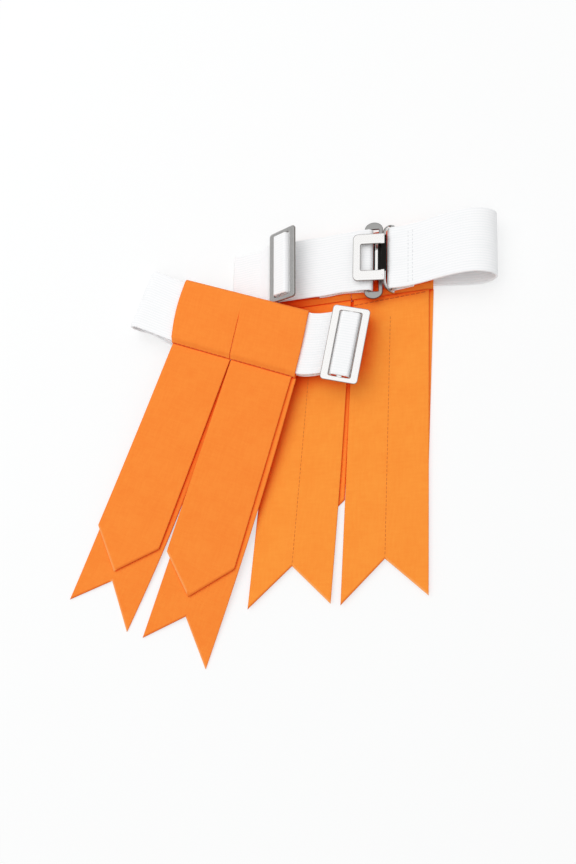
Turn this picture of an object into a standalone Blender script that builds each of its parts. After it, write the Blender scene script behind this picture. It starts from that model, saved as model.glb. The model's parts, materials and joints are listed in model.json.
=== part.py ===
"""A pair of kilt hose flashes on elastic garters, laid one over the other on a table.

Lengths are in metres and +Z is up. The rear flash lies face down with its clasp on top. The front
flash lies face up across the rear one's left end, with its clasp underneath. In a flash's own frame
x runs along the elastic, y across it, and the cloth hangs towards -y.
"""

import math
from collections import namedtuple

import bmesh
import bpy
from mathutils import Vector
from mathutils.geometry import tessellate_polygon

# Elastic and cloth
ELASTIC_WIDTH = 0.0245
ELASTIC_THICKNESS = 0.0010
CLOTH_THICKNESS = 0.0007
CLEARANCE = 0.0003

# Ribbon columns
REAR_RIBBON_WIDTH = 0.0312
FRONT_RIBBON_WIDTH = 0.0263
REAR_TOP_INSET = 0.0022
FRONT_TOP_INSET = 0.0007
COLUMN_GAP = 0.0006
REAR_COLUMN_SHIFT = 0.0014
TAIL_NOTCH = 0.0151
POINT_TIP = 0.0150
REAR_SEAM_GAP = 0.0005
FRONT_SEAM_GAP = 0.0013
DROOP_RUN = 0.1165
LEFT_DROOP = 1.5
RIGHT_DROOP = 1.1

# Each cloth end: its shift along the seam, lean in degrees, length, extra length on its +x side, flare
End = namedtuple("End", "shift lean length skew flare")
REAR_LEFT_TAIL = End(0.00125, -3.8, 0.1170, -0.0009, 0.0030)
REAR_LEFT_POINT = End(0.0030, -3.0, 0.0800, 0.0, 0.0015)
REAR_RIGHT_TAIL = End(-0.00055, -1.0, 0.11565, -0.0023, 0.0030)
REAR_RIGHT_POINT = End(0.0012, -2.3, 0.0800, 0.0, 0.0015)
FRONT_LEFT_TAIL = End(-0.00015, -10.25, 0.11295, 0.0035, 0.0029)
FRONT_LEFT_POINT = End(-0.00017, -10.5, 0.0788, 0.0009, 0.0029)
FRONT_RIGHT_TAIL = End(0.00062, -6.3, 0.1148, 0.00205, 0.0029)
FRONT_RIGHT_POINT = End(-0.00105, -6.0, 0.07695, -0.0023, 0.0029)

# Slider, a frame with a centre bar
METAL_THICKNESS = 0.0010
SLIDER_WIDTH = 0.0142
SLIDER_SIDE_BAR = 0.0029
SLIDER_END_BAR = 0.0019
SLIDER_CENTRE_BAR = 0.0022
SLIDER_CORNER = 0.0014
TURN_OVERHANG = 0.0011
TURN_SLACK = 0.0001
REAR_SLIDER_TILT = math.radians(33.0)
REAR_SLIDER_YAW = math.radians(1.5)
FRONT_SLIDER_TILT = math.radians(6.0)

# Clasp, an eye on the doubled end and a hook on the sewn end
EYE_PITCH = 0.0055
EYE_BAR = 0.0016
EYE_LOBE = 0.0029
KEEPER_WIDTH = 0.0140
KEEPER_THICKNESS = 0.0006
HOOK_LOBE = 0.0011
HOOK_BAR = 0.0014
HOOK_PITCH = 0.0044
HOOK_RING_TILT = math.radians(40.0)
HOOK_REACH = 0.00385
HOOK_PLATE_LENGTH = 0.0118
HOOK_PLATE_WIDTH = 0.0187
HOOK_ARM = 0.0041
HOOK_END_BAR = 0.0030
HOOK_CORNER = 0.0012
PRONG_THICKNESS = 0.0008
PRONG_WIDTH = 0.0018
PRONG_DEPTH = 0.0012
REAR_HOOK_LIFT = math.radians(2.0)

# Garter loops, along each strap from the sleeve's ends
SEWN_END = 0.0080
REAR_SEWN_SHIFT = 0.0015
REAR_EYE_X = 0.00755
FRONT_EYE_X = -0.0130
REAR_RETURN_END = -0.0110
FRONT_RETURN_END = 0.0340
REAR_LOOP_RUN = 0.0162
REAR_LOOP_DEPTH = 0.0080
REAR_LOOP_TOP = 0.0122
REAR_FOLD_RUN = 0.0151
REAR_RAMP_RUN = 0.0190
REAR_SLIDER_RUN = 0.0064
REAR_SLIDER_SHIFT = 0.0009
FRONT_FOLD_RUN = 0.0154
FRONT_FOLD_DEPTH = 0.0035
FRONT_FOLD_SKEW = 0.0020
FRONT_FOLD_RISE = 0.0015
FRONT_CLASP_DROP = 0.0012
FRONT_SLIDER_RUN = 0.0171
FRONT_SLIDER_YAW = math.radians(1.5)
FRONT_SLIDER_Y = -0.0006
FRONT_LOOP_RUN = 0.0194
FRONT_LOOP_DEPTH = 0.0030

# How the flashes lie
REAR_YAW = math.radians(-1.5)
FRONT_YAW = math.radians(-13.0)
REAR_SLOPE = 0.100
FRONT_SLOPE = -0.095
REAR_CLASP_Y = -0.0013
REAR_SLEEVE_Y = -0.0026
FRONT_SLEEVE_Y = -0.00015
NEST_X = 0.0116
NEST_Y = 0.0010

# Levels of the layers, from the table up
SLEEVE_HALF = ELASTIC_WIDTH / 2 + CLEARANCE + CLOTH_THICKNESS
SLEEVE_HEIGHT = 2 * CLOTH_THICKNESS + 2 * CLEARANCE + ELASTIC_THICKNESS
SLOT_LEVEL = SLEEVE_HEIGHT / 2
LAYER_STEP = ELASTIC_THICKNESS + CLEARANCE
CLOTH_STEP = CLOTH_THICKNESS + CLEARANCE
REAR_RETURN_LEVEL = SLEEVE_HEIGHT + CLEARANCE + ELASTIC_THICKNESS / 2
REAR_UPPER_LEVEL = REAR_RETURN_LEVEL + LAYER_STEP
FRONT_LOWER_LEVEL = REAR_RETURN_LEVEL + LAYER_STEP
FRONT_RETURN_LEVEL = FRONT_LOWER_LEVEL + LAYER_STEP
FRONT_BASE = FRONT_RETURN_LEVEL + ELASTIC_THICKNESS / 2 + CLEARANCE
FRONT_UPPER_LEVEL = FRONT_BASE + SLOT_LEVEL
TABLE_LEVEL = ELASTIC_THICKNESS / 2
EYE_WRAP = METAL_THICKNESS / 2 + CLEARANCE + ELASTIC_THICKNESS / 2
HOOK_WRAP = math.hypot(HOOK_BAR, METAL_THICKNESS) / 2 + CLEARANCE + ELASTIC_THICKNESS / 2
TURN_RISE = METAL_THICKNESS / 2 + CLEARANCE + ELASTIC_THICKNESS / 2 + TURN_SLACK
TURN_REACH = SLIDER_WIDTH / 2 - SLIDER_SIDE_BAR + TURN_OVERHANG
SLOT_LENGTH = ELASTIC_WIDTH + 2 * CLEARANCE
SLIDER_LENGTH = SLOT_LENGTH + 2 * SLIDER_END_BAR
HOOK_X = EYE_PITCH + EYE_BAR / 2 + HOOK_REACH
HOOK_Z = HOOK_WRAP - EYE_WRAP

ORANGE = (0.955, 0.279, 0.037)
WHITE = (0.92, 0.93, 0.94)
NICKEL = (0.62, 0.62, 0.60)


def finish(name, colour, roughness, metallic):
    """One Principled material, named after its piece."""
    material = bpy.data.materials.new(name + "_finish")
    material.use_nodes = True
    shader = material.node_tree.nodes["Principled BSDF"]
    shader.inputs["Base Color"].default_value = (*colour, 1.0)
    shader.inputs["Roughness"].default_value = roughness
    shader.inputs["Metallic"].default_value = metallic
    return material


def cloth(name):
    return finish(name, ORANGE, 0.85, 0.0)


def elastic(name):
    return finish(name, WHITE, 0.80, 0.0)


def nickel(name):
    return finish(name, NICKEL, 0.30, 1.0)


def holder(name, parent=None, place=(0, 0, 0), turn=(0, 0, 0)):
    """An empty that carries pieces."""
    empty = bpy.data.objects.new(name, None)
    empty.location = place
    empty.rotation_euler = turn
    empty.parent = parent
    bpy.context.collection.objects.link(empty)
    return empty


def solid(name, shape, material, parent=None, origin=(0, 0, 0), turn=(0, 0, 0)):
    """One closed body from vertices and faces given about its own origin."""
    verts, faces = shape
    bm = bmesh.new()
    corners = [bm.verts.new(vert) for vert in verts]
    for face in faces:
        bm.faces.new([corners[index] for index in face])
    bmesh.ops.recalc_face_normals(bm, faces=bm.faces[:])
    mesh = bpy.data.meshes.new(name)
    bm.to_mesh(mesh)
    bm.free()
    piece = bpy.data.objects.new(name, mesh)
    piece.location = origin
    piece.rotation_euler = turn
    piece.parent = parent
    if material:
        mesh.materials.append(material)
    bpy.context.collection.objects.link(piece)
    return piece


def prism(loops, start, end):
    """An outline with holes, carried from one place to another; start and end map (a, b) to a point."""
    flat = [point for loop in loops for point in loop]
    count = len(flat)
    verts = [start(*point) for point in flat] + [end(*point) for point in flat]
    caps = tessellate_polygon([[Vector((*point, 0.0)) for point in loop] for loop in loops])
    faces = [tuple(cap) for cap in caps]
    faces += [tuple(index + count for index in reversed(cap)) for cap in caps]
    first = 0
    for loop in loops:
        size = len(loop)
        for step in range(size):
            here = first + step
            after = first + (step + 1) % size
            faces.append((here, after, after + count, here + count))
        first += size
    return verts, faces


def plate(loops, thickness, lift=0.0):
    """A flat plate centred on its own plane."""
    low = lift - thickness / 2
    return prism(loops, lambda a, b: (a, b, low), lambda a, b: (a, b, low + thickness))


def box_loop(x0, x1, y0, y1):
    return [(x0, y0), (x1, y0), (x1, y1), (x0, y1)]


def rounded_loop(x0, x1, y0, y1, radius, steps=4):
    """A rectangle with round corners."""
    loop = []
    for corner, (cx, cy) in enumerate(box_loop(x0 + radius, x1 - radius, y0 + radius, y1 - radius)):
        for step in range(steps + 1):
            angle = math.pi + (corner + step / steps) * math.pi / 2
            loop.append((cx + radius * math.cos(angle), cy + radius * math.sin(angle)))
    return loop


def lobed_loop(x0, x1, half, lobe, steps=10):
    """A straight-sided link with half-oval ends past y = half and y = -half."""
    mid = (x0 + x1) / 2
    reach = (x1 - x0) / 2
    loop = []
    for side in (1, -1):
        for step in range(steps + 1):
            angle = math.pi * step / steps
            loop.append((mid + side * reach * math.cos(angle), side * (half + lobe * math.sin(angle))))
    return loop


def ease(start, end, count=8):
    """Stations from start to end, with x even and y and z easing in and out."""
    stations = []
    for step in range(1, count + 1):
        t = step / count
        s = t * t * (3 - 2 * t)
        x = start[0] + (end[0] - start[0]) * t
        stations.append((x, start[1] + (end[1] - start[1]) * s, start[2] + (end[2] - start[2]) * s))
    return stations


def bow(centre, radii, first, last, y_first, y_last, count=10):
    """Stations round an oval in the xz plane, between two angles in degrees."""
    stations = []
    for step in range(count + 1):
        t = step / count
        angle = math.radians(first + (last - first) * t)
        x = centre[0] + radii[0] * math.cos(angle)
        z = centre[1] + radii[1] * math.sin(angle)
        stations.append((x, y_first + (y_last - y_first) * t, z))
    return stations


def no_skew(x):
    return 0.0


def band(stations, width, thickness, skew=no_skew):
    """A flat strip swept along stations; skew(x) is how far x shifts at its +y edge."""
    verts = []
    for index, (x, y, z) in enumerate(stations):
        before = stations[max(index - 1, 0)]
        after = stations[min(index + 1, len(stations) - 1)]
        dx, dz = after[0] - before[0], after[2] - before[2]
        length = math.hypot(dx, dz)
        nx, nz = -dz / length * thickness / 2, dx / length * thickness / 2
        for side, way in ((-1, -1), (1, -1), (1, 1), (-1, 1)):
            verts.append((x + way * nx + side * skew(x), y + side * width / 2, z + way * nz))
    faces = [(0, 1, 2, 3)]
    for index in range(len(stations) - 1):
        for side in range(4):
            here = 4 * index + side
            beside = 4 * index + (side + 1) % 4
            faces.append((here, beside, beside + 4, here + 4))
    last = 4 * (len(stations) - 1)
    faces.append((last, last + 1, last + 2, last + 3))
    return verts, faces


def sleeve(x0, x1, centre_line, base):
    """Half a sleeve: the cloth folded over the elastic and stitched shut along its lower edge."""
    half = SLEEVE_HALF
    slot = half - CLOTH_THICKNESS
    top = base + SLEEVE_HEIGHT
    round_off = CLOTH_THICKNESS
    seam_top = base + CLOTH_THICKNESS + CLOTH_STEP
    outer = [(-half, base), (half - round_off, base), (half, base + round_off)]
    outer += [(half, top - round_off), (half - round_off, top), (-slot, top), (-half, seam_top)]
    inner = box_loop(-slot, slot, base + CLOTH_THICKNESS, top - CLOTH_THICKNESS)
    return prism(
        [outer, inner],
        lambda a, b: (x0, centre_line(x0) + a, b),
        lambda a, b: (x1, centre_line(x1) + a, b),
    )


def ribbon(span, seam_line, end, cut, level, origin, columns=8, rows=12):
    """A cloth end hanging from the seam, cut to a point (cut > 0) or a swallow tail (cut < 0)."""
    x0, x1 = span
    lean = math.radians(end.lean)
    along = Vector((math.sin(lean), -math.cos(lean)))
    verts = []
    for layer in (0.0, CLOTH_THICKNESS):
        for row in range(rows + 1):
            w = row / rows
            for column in range(columns + 1):
                u = column / columns
                reach = w * (end.length + cut * (1 - abs(2 * u - 1)) + end.skew * (u - 0.5))
                spread = (u - 0.5) * end.flare * w
                x = x0 + (x1 - x0) * u
                px = x + spread + along.x * reach
                py = seam_line(x) + along.y * reach
                verts.append((px - origin[0], py - origin[1], level(reach) + layer - origin[2]))
    stride = columns + 1
    sheet = stride * (rows + 1)
    faces = []
    for row in range(rows):
        for column in range(columns):
            a = row * stride + column
            faces.append((a, a + 1, a + stride + 1, a + stride))
            faces.append(tuple(sheet + v for v in (a + stride, a + stride + 1, a + 1, a)))
    rim = list(range(stride))
    rim += [row * stride + columns for row in range(1, rows + 1)]
    rim += [rows * stride + column for column in range(columns - 1, -1, -1)]
    rim += [row * stride for row in range(rows - 1, 0, -1)]
    for index, here in enumerate(rim):
        after = rim[(index + 1) % len(rim)]
        faces.append((here, after, after + sheet, here + sheet))
    return verts, faces


def slider_rise(tilt):
    """How far a tilted slider's middle stands over the middle of the elastic that it rests on."""
    turn_depth = TURN_REACH * math.sin(tilt) + (TURN_RISE + ELASTIC_THICKNESS / 2) * math.cos(tilt)
    bar_depth = SLIDER_WIDTH / 2 * math.sin(tilt) + METAL_THICKNESS / 2 * math.cos(tilt)
    return ELASTIC_THICKNESS / 2 + CLEARANCE + max(turn_depth, bar_depth)


def slider(name, parent, place, turn):
    """The frame, with the turn of elastic that crosses its centre bar."""
    half = SLIDER_WIDTH / 2
    end = SLOT_LENGTH / 2
    side = half - SLIDER_SIDE_BAR
    bar = SLIDER_CENTRE_BAR / 2
    frame = rounded_loop(-half, half, -end - SLIDER_END_BAR, end + SLIDER_END_BAR, SLIDER_CORNER)
    windows = [box_loop(-side, -bar, -end, end), box_loop(bar, side, -end, end)]
    body = solid(name, plate([frame, *windows], METAL_THICKNESS), nickel(name), parent, place, turn)
    path = [(-TURN_REACH, 0, -TURN_RISE), (-side, 0, -TURN_RISE)]
    path += ease((-side, 0, -TURN_RISE), (-bar, 0, TURN_RISE))
    path += ease((-bar, 0, TURN_RISE), (bar, 0, TURN_RISE), 2)
    path += ease((bar, 0, TURN_RISE), (side, 0, -TURN_RISE))
    path += [(TURN_REACH, 0, -TURN_RISE)]
    turn_name = name + "_turn"
    solid(turn_name, band(path, ELASTIC_WIDTH, ELASTIC_THICKNESS), elastic(turn_name), body)
    return body


def helper(name, shape, parent, turn=(0, 0, 0)):
    """A shape that only joins another one."""
    piece = solid(name, shape, None, parent, turn=turn)
    piece.hide_render = True
    piece.display_type = "WIRE"
    return piece


def join(body, parts):
    """Makes helpers part of a body."""
    for part in parts:
        union = body.modifiers.new(part.name, "BOOLEAN")
        union.operation = "UNION"
        union.solver = "EXACT"
        union.object = part


def eye(name, parent):
    """The link in the doubled end, with its strap bar on the y axis and a keeper under its far bar."""
    x0 = -EYE_BAR / 2
    x1 = EYE_PITCH + EYE_BAR / 2
    half = SLOT_LENGTH / 2
    slot = box_loop(x0 + EYE_BAR, x1 - EYE_BAR, -half, half)
    link = plate([lobed_loop(x0, x1, half - CLEARANCE, CLEARANCE + EYE_LOBE), slot], METAL_THICKNESS)
    body = solid(name, link, nickel(name), parent)
    cap_reach = EYE_BAR / 2 + EYE_WRAP + ELASTIC_THICKNESS / 2
    hook_side = HOOK_X - HOOK_WRAP - ELASTIC_THICKNESS / 2
    foot = box_loop(cap_reach + CLEARANCE, hook_side - CLEARANCE, -KEEPER_WIDTH / 2, KEEPER_WIDTH / 2)
    keeper = plate([foot], KEEPER_THICKNESS, -METAL_THICKNESS / 2)
    join(body, [helper(name + "_keeper", keeper, body)])
    return body


def hook(name, parent, place, lift):
    """The hook about its strap bar: a bent ring, a C-shaped plate and two prongs."""
    half = SLOT_LENGTH / 2
    x0 = -HOOK_PITCH - HOOK_BAR / 2
    x1 = HOOK_BAR / 2
    slot = box_loop(x0 + HOOK_BAR, x1 - HOOK_BAR, -half, half)
    ring = plate([lobed_loop(x0, x1, half, HOOK_LOBE), slot], METAL_THICKNESS)
    bend_x = -HOOK_PITCH * math.cos(HOOK_RING_TILT)
    bend_z = HOOK_PITCH * math.sin(HOOK_RING_TILT)
    left = bend_x - HOOK_PLATE_LENGTH
    inner = HOOK_PLATE_WIDTH / 2 - HOOK_ARM
    outline = rounded_loop(left, bend_x, -HOOK_PLATE_WIDTH / 2, HOOK_PLATE_WIDTH / 2, HOOK_CORNER)
    window = box_loop(left + HOOK_END_BAR, bend_x - HOOK_BAR / 2, -inner, inner)
    c_plate = plate([outline, window], METAL_THICKNESS, bend_z)
    body = solid(name, c_plate, nickel(name), parent, place, (0, lift, 0))
    cap_reach = EYE_BAR / 2 + EYE_WRAP + ELASTIC_THICKNESS / 2
    prong_x = (cap_reach + EYE_PITCH - EYE_BAR / 2) / 2 - HOOK_X
    prong_low = -HOOK_Z - PRONG_DEPTH
    joined = [helper(name + "_ring", ring, body, (0, HOOK_RING_TILT, 0))]
    for label, side in (("_prong_a", 1), ("_prong_b", -1)):
        middle = side * (KEEPER_WIDTH / 2 + CLEARANCE + PRONG_WIDTH / 2)
        foot = box_loop(
            prong_x - PRONG_THICKNESS / 2,
            prong_x + PRONG_THICKNESS / 2,
            middle - PRONG_WIDTH / 2,
            middle + PRONG_WIDTH / 2,
        )
        prong = plate([foot], bend_z - prong_low, (bend_z + prong_low) / 2)
        joined.append(helper(name + label, prong, body))
    join(body, joined)
    return body


def column_spans(width, shift=0.0):
    near = COLUMN_GAP / 2
    return (shift - near - width, shift - near), (shift + near, shift + near + width)


def end_span(span, inset, end):
    """Where a cloth end starts along the seam."""
    return span[0] + inset / 2 + end.shift, span[1] - inset / 2 + end.shift


def rear_flash(flash):
    """Face down: the points under the tails, the clasp on top."""
    width = REAR_RIBBON_WIDTH
    end = COLUMN_GAP / 2 + width

    def sleeve_line(x):
        return REAR_SLEEVE_Y + REAR_SLOPE * x

    def seam_line(x):
        return sleeve_line(x) - SLEEVE_HALF - REAR_SEAM_GAP

    eye_z = REAR_RETURN_LEVEL + EYE_WRAP
    hook_x = REAR_EYE_X + HOOK_X
    hook_z = eye_z + HOOK_Z
    clasp_y = REAR_CLASP_Y
    loop_x = end + REAR_LOOP_RUN
    loop_z = (REAR_LOOP_TOP + TABLE_LEVEL) / 2
    loop_y = sleeve_line(loop_x) - 0.3 * REAR_SLOPE * loop_x
    mouth = 2 * ELASTIC_THICKNESS
    fold_x = -end - REAR_FOLD_RUN
    fold_y = sleeve_line(fold_x) + 0.1 * REAR_SLOPE * end
    fold_z = TABLE_LEVEL + LAYER_STEP
    ramp_foot = (-end - 2.5 * mouth, fold_y + 0.4 * REAR_SLOPE * end, fold_z + CLEARANCE)
    ramp_start = (-end - CLEARANCE, sleeve_line(-end) + 0.6 * REAR_SLOPE * end, REAR_RETURN_LEVEL)
    ramp_end = (-end + REAR_RAMP_RUN, 0.5 * (ramp_start[1] + clasp_y), REAR_UPPER_LEVEL)
    cap = REAR_EYE_X + EYE_BAR / 2
    above_eye = eye_z + EYE_WRAP
    climb = REAR_EYE_X - EYE_BAR / 2 - CLEARANCE

    path = [(hook_x + SEWN_END, clasp_y + REAR_SEWN_SHIFT, REAR_RETURN_LEVEL)]
    path += bow((hook_x, hook_z), (HOOK_WRAP, HOOK_WRAP), 270, 90, clasp_y, clasp_y)
    path += ease(path[-1], (loop_x, loop_y + 0.0009, REAR_LOOP_TOP), 14)
    radii = (REAR_LOOP_DEPTH, loop_z - TABLE_LEVEL)
    path += bow((loop_x, loop_z), radii, 90, -90, loop_y + 0.0009, loop_y, 16)[1:]
    path += ease(path[-1], (end + mouth, sleeve_line(end + mouth), SLOT_LEVEL))
    path += ease(path[-1], (-end - mouth, sleeve_line(-end - mouth), SLOT_LEVEL), 1)
    path += ease(path[-1], (fold_x + 2 * mouth, fold_y, TABLE_LEVEL))
    fold_r = LAYER_STEP / 2
    path += bow((fold_x, TABLE_LEVEL + fold_r), (fold_r, fold_r), 270, 90, fold_y, fold_y)
    path += ease(path[-1], ramp_foot)
    path += ease(path[-1], ramp_start)
    path += ease(path[-1], ramp_end, 1)
    path += ease(path[-1], (climb - 3 * mouth, clasp_y, REAR_UPPER_LEVEL))
    path += ease(path[-1], (climb, clasp_y, above_eye))
    path += bow((cap, eye_z), (EYE_WRAP, EYE_WRAP), 90, -90, clasp_y, clasp_y)
    path += ease(path[-1], (climb - 3 * mouth, clasp_y, REAR_RETURN_LEVEL), 1)
    path += ease(path[-1], (REAR_RETURN_END, ramp_end[1], REAR_RETURN_LEVEL))
    strap = band(path, ELASTIC_WIDTH, ELASTIC_THICKNESS)
    solid("rear_strap", strap, elastic("rear_strap"), flash)

    clasp = holder("rear_clasp", flash, (REAR_EYE_X, clasp_y, eye_z))
    eye("rear_eye", clasp)
    hook("rear_hook", clasp, (HOOK_X, 0, HOOK_Z), REAR_HOOK_LIFT)

    slider_x = -end + REAR_SLIDER_RUN
    share = (slider_x - ramp_start[0]) / (ramp_end[0] - ramp_start[0])
    slider_y = ramp_start[1] + (ramp_end[1] - ramp_start[1]) * share + REAR_SLIDER_SHIFT
    slider_z = ramp_start[2] + (ramp_end[2] - ramp_start[2]) * share + slider_rise(REAR_SLIDER_TILT)
    slider_turn = (0, -REAR_SLIDER_TILT, REAR_SLIDER_YAW)
    slider("rear_slider", flash, (slider_x, slider_y, slider_z), slider_turn)

    spans = column_spans(width, REAR_COLUMN_SHIFT)
    sides = (
        ("left", spans[0], REAR_LEFT_POINT, REAR_LEFT_TAIL, 0),
        ("right", spans[1], REAR_RIGHT_POINT, REAR_RIGHT_TAIL, 1),
    )
    for side, span, point, tail, outer in sides:
        name = "rear_sleeve_" + side
        solid(name, sleeve(*span, sleeve_line, 0.0), cloth(name), flash)
        for kind, end_cut, cut, level in (
            ("point", point, POINT_TIP, 0.0),
            ("tail", tail, -TAIL_NOTCH, CLOTH_STEP),
        ):
            name = "rear_" + side + "_" + kind
            top = end_span(span, REAR_TOP_INSET, end_cut)
            origin = (top[outer], seam_line(top[outer]), 0.0)
            shape = ribbon(top, seam_line, end_cut, cut, lambda reach, z=level: z, origin)
            solid(name, shape, cloth(name), flash, origin)


def front_flash(flash):
    """Face up: the tails under the points, the clasp underneath."""
    width = FRONT_RIBBON_WIDTH
    end = COLUMN_GAP / 2 + width

    def sleeve_line(x):
        return FRONT_SLEEVE_Y + FRONT_SLOPE * x

    def seam_line(x):
        return sleeve_line(x) - SLEEVE_HALF - FRONT_SEAM_GAP

    eye_z = FRONT_RETURN_LEVEL - EYE_WRAP
    hook_x = FRONT_EYE_X - HOOK_X
    hook_z = eye_z - HOOK_Z
    clasp_y = sleeve_line((FRONT_EYE_X + hook_x) / 2) - FRONT_CLASP_DROP
    mouth = 2 * ELASTIC_THICKNESS
    fold_x = -end - FRONT_FOLD_RUN
    fold_y = sleeve_line(fold_x) + FRONT_FOLD_RISE
    low = TABLE_LEVEL + CLEARANCE
    fold_z = (FRONT_UPPER_LEVEL + low) / 2
    slider_x = end + FRONT_SLIDER_RUN
    slider_y = FRONT_SLIDER_Y
    leave_x = end + mouth / 2
    loop_x = end + FRONT_LOOP_RUN
    loop_z = (FRONT_UPPER_LEVEL + FRONT_LOWER_LEVEL) / 2
    cap = FRONT_EYE_X - EYE_BAR / 2
    below_eye = eye_z - EYE_WRAP
    climb = FRONT_EYE_X + EYE_BAR / 2 + CLEARANCE

    path = [(hook_x - SEWN_END, clasp_y, FRONT_RETURN_LEVEL)]
    path += bow((hook_x, hook_z), (HOOK_WRAP, HOOK_WRAP), 90, -90, clasp_y, clasp_y)
    path += ease(path[-1], (fold_x, fold_y, low))
    radii = (FRONT_FOLD_DEPTH, FRONT_UPPER_LEVEL - fold_z)
    path += bow((fold_x, fold_z), radii, 270, 90, fold_y, fold_y, 14)[1:]
    path += ease(path[-1], (-end - mouth, sleeve_line(-end - mouth), FRONT_UPPER_LEVEL), 1)
    path += ease(path[-1], (leave_x, sleeve_line(leave_x), FRONT_UPPER_LEVEL), 1)
    path += ease(path[-1], (loop_x - mouth, slider_y, FRONT_UPPER_LEVEL))
    radii = (FRONT_LOOP_DEPTH, FRONT_UPPER_LEVEL - loop_z)
    path += bow((loop_x, loop_z), radii, 90, -90, slider_y, slider_y, 14)
    path += ease(path[-1], (leave_x, sleeve_line(leave_x), FRONT_LOWER_LEVEL))
    path += ease(path[-1], (climb + 6 * mouth, clasp_y, FRONT_LOWER_LEVEL), 12)
    path += ease(path[-1], (climb + 4 * mouth, clasp_y, FRONT_LOWER_LEVEL), 1)
    path += ease(path[-1], (climb, clasp_y, below_eye))
    path += bow((cap, eye_z), (EYE_WRAP, EYE_WRAP), 270, 90, clasp_y, clasp_y)
    path += ease(path[-1], (climb + 6 * mouth, clasp_y, FRONT_RETURN_LEVEL), 1)
    path += ease(path[-1], (leave_x, sleeve_line(leave_x), FRONT_RETURN_LEVEL), 12)
    path += ease(path[-1], (FRONT_RETURN_END, (sleeve_line(leave_x) + slider_y) / 2, FRONT_RETURN_LEVEL))

    def fold_skew(x):
        return FRONT_FOLD_SKEW * min(1.0, max(0.0, (-end - mouth - x) / FRONT_FOLD_RUN))

    strap = band(path, ELASTIC_WIDTH, ELASTIC_THICKNESS, fold_skew)
    solid("front_strap", strap, elastic("front_strap"), flash)

    clasp = holder("front_clasp", flash, (FRONT_EYE_X, clasp_y, eye_z), (0, math.pi, 0))
    eye("front_eye", clasp)
    hook("front_hook", clasp, (HOOK_X, 0, HOOK_Z), 0.0)

    slider_z = FRONT_UPPER_LEVEL + slider_rise(FRONT_SLIDER_TILT)
    slider_turn = (0, FRONT_SLIDER_TILT, FRONT_SLIDER_YAW)
    slider("front_slider", flash, (slider_x, slider_y, slider_z), slider_turn)

    spans = column_spans(width)
    sides = (
        ("left", spans[0], FRONT_LEFT_POINT, FRONT_LEFT_TAIL, LEFT_DROOP),
        ("right", spans[1], FRONT_RIGHT_POINT, FRONT_RIGHT_TAIL, RIGHT_DROOP),
    )
    for side, span, point, tail, droop in sides:
        name = "front_sleeve_" + side
        solid(name, sleeve(*span, sleeve_line, FRONT_BASE), cloth(name), flash)
        middle = (span[0] + span[1]) / 2
        origin = (middle, seam_line(middle), FRONT_BASE + CLOTH_THICKNESS + CLEARANCE / 2)

        def tail_level(reach, droop=droop):
            return FRONT_BASE * max(0.0, 1 - reach / DROOP_RUN) ** droop

        def point_level(reach, under=tail_level):
            return under(reach) + CLOTH_STEP

        for kind, end_cut, cut, level in (
            ("tail", tail, -TAIL_NOTCH, tail_level),
            ("point", point, POINT_TIP, point_level),
        ):
            name = "front_" + side + "_" + kind
            top = end_span(span, FRONT_TOP_INSET, end_cut)
            shape = ribbon(top, seam_line, end_cut, cut, level, origin)
            solid(name, shape, cloth(name), flash, origin)


def centre_on_table(holders):
    """Move the flashes so that the middle of the pair's box is over the origin."""
    bpy.context.view_layer.update()
    corners = [
        piece.matrix_world @ vert.co
        for piece in bpy.data.objects
        if piece.type == "MESH" and not piece.hide_render
        for vert in piece.data.vertices
    ]
    middle_x = (min(c.x for c in corners) + max(c.x for c in corners)) / 2
    middle_y = (min(c.y for c in corners) + max(c.y for c in corners)) / 2
    for empty in holders:
        empty.location.x -= middle_x
        empty.location.y -= middle_y


for old in list(bpy.data.objects):
    bpy.data.objects.remove(old, do_unlink=True)

rear = holder("rear_flash", turn=(0, 0, REAR_YAW))
front_x = -REAR_RIBBON_WIDTH - NEST_X
front_y = NEST_Y - SLEEVE_HALF - SLIDER_LENGTH / 2 + REAR_SLIDER_SHIFT
front = holder("front_flash", place=(front_x, front_y, 0), turn=(0, 0, FRONT_YAW))
rear_flash(rear)
front_flash(front)
centre_on_table([rear, front])
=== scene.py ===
"""A pair of kilt hose flashes: orange cloth on white elastic garters, laid one over the other."""

import json

import bpy
import numpy as np
from mathutils import Matrix

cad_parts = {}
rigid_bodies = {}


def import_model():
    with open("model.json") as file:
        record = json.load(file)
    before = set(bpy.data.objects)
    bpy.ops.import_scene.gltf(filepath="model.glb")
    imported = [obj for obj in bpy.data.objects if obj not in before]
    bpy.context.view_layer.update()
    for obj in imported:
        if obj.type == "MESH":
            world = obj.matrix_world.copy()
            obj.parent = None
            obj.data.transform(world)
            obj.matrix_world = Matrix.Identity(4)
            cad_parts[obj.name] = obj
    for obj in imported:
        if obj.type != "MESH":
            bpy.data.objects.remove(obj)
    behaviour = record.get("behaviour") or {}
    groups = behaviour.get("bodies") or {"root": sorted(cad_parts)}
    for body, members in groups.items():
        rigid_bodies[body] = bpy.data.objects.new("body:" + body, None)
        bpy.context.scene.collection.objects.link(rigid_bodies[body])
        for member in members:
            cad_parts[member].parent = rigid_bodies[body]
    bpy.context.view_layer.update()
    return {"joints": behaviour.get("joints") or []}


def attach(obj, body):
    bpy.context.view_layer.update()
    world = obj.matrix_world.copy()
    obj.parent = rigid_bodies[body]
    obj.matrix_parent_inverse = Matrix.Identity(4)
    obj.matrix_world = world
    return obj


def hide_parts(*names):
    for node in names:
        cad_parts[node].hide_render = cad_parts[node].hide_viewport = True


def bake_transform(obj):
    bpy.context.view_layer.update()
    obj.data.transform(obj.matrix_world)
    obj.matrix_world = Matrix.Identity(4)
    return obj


for leftover in list(bpy.data.objects):
    bpy.data.objects.remove(leftover)
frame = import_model()


# Garter straps

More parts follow.
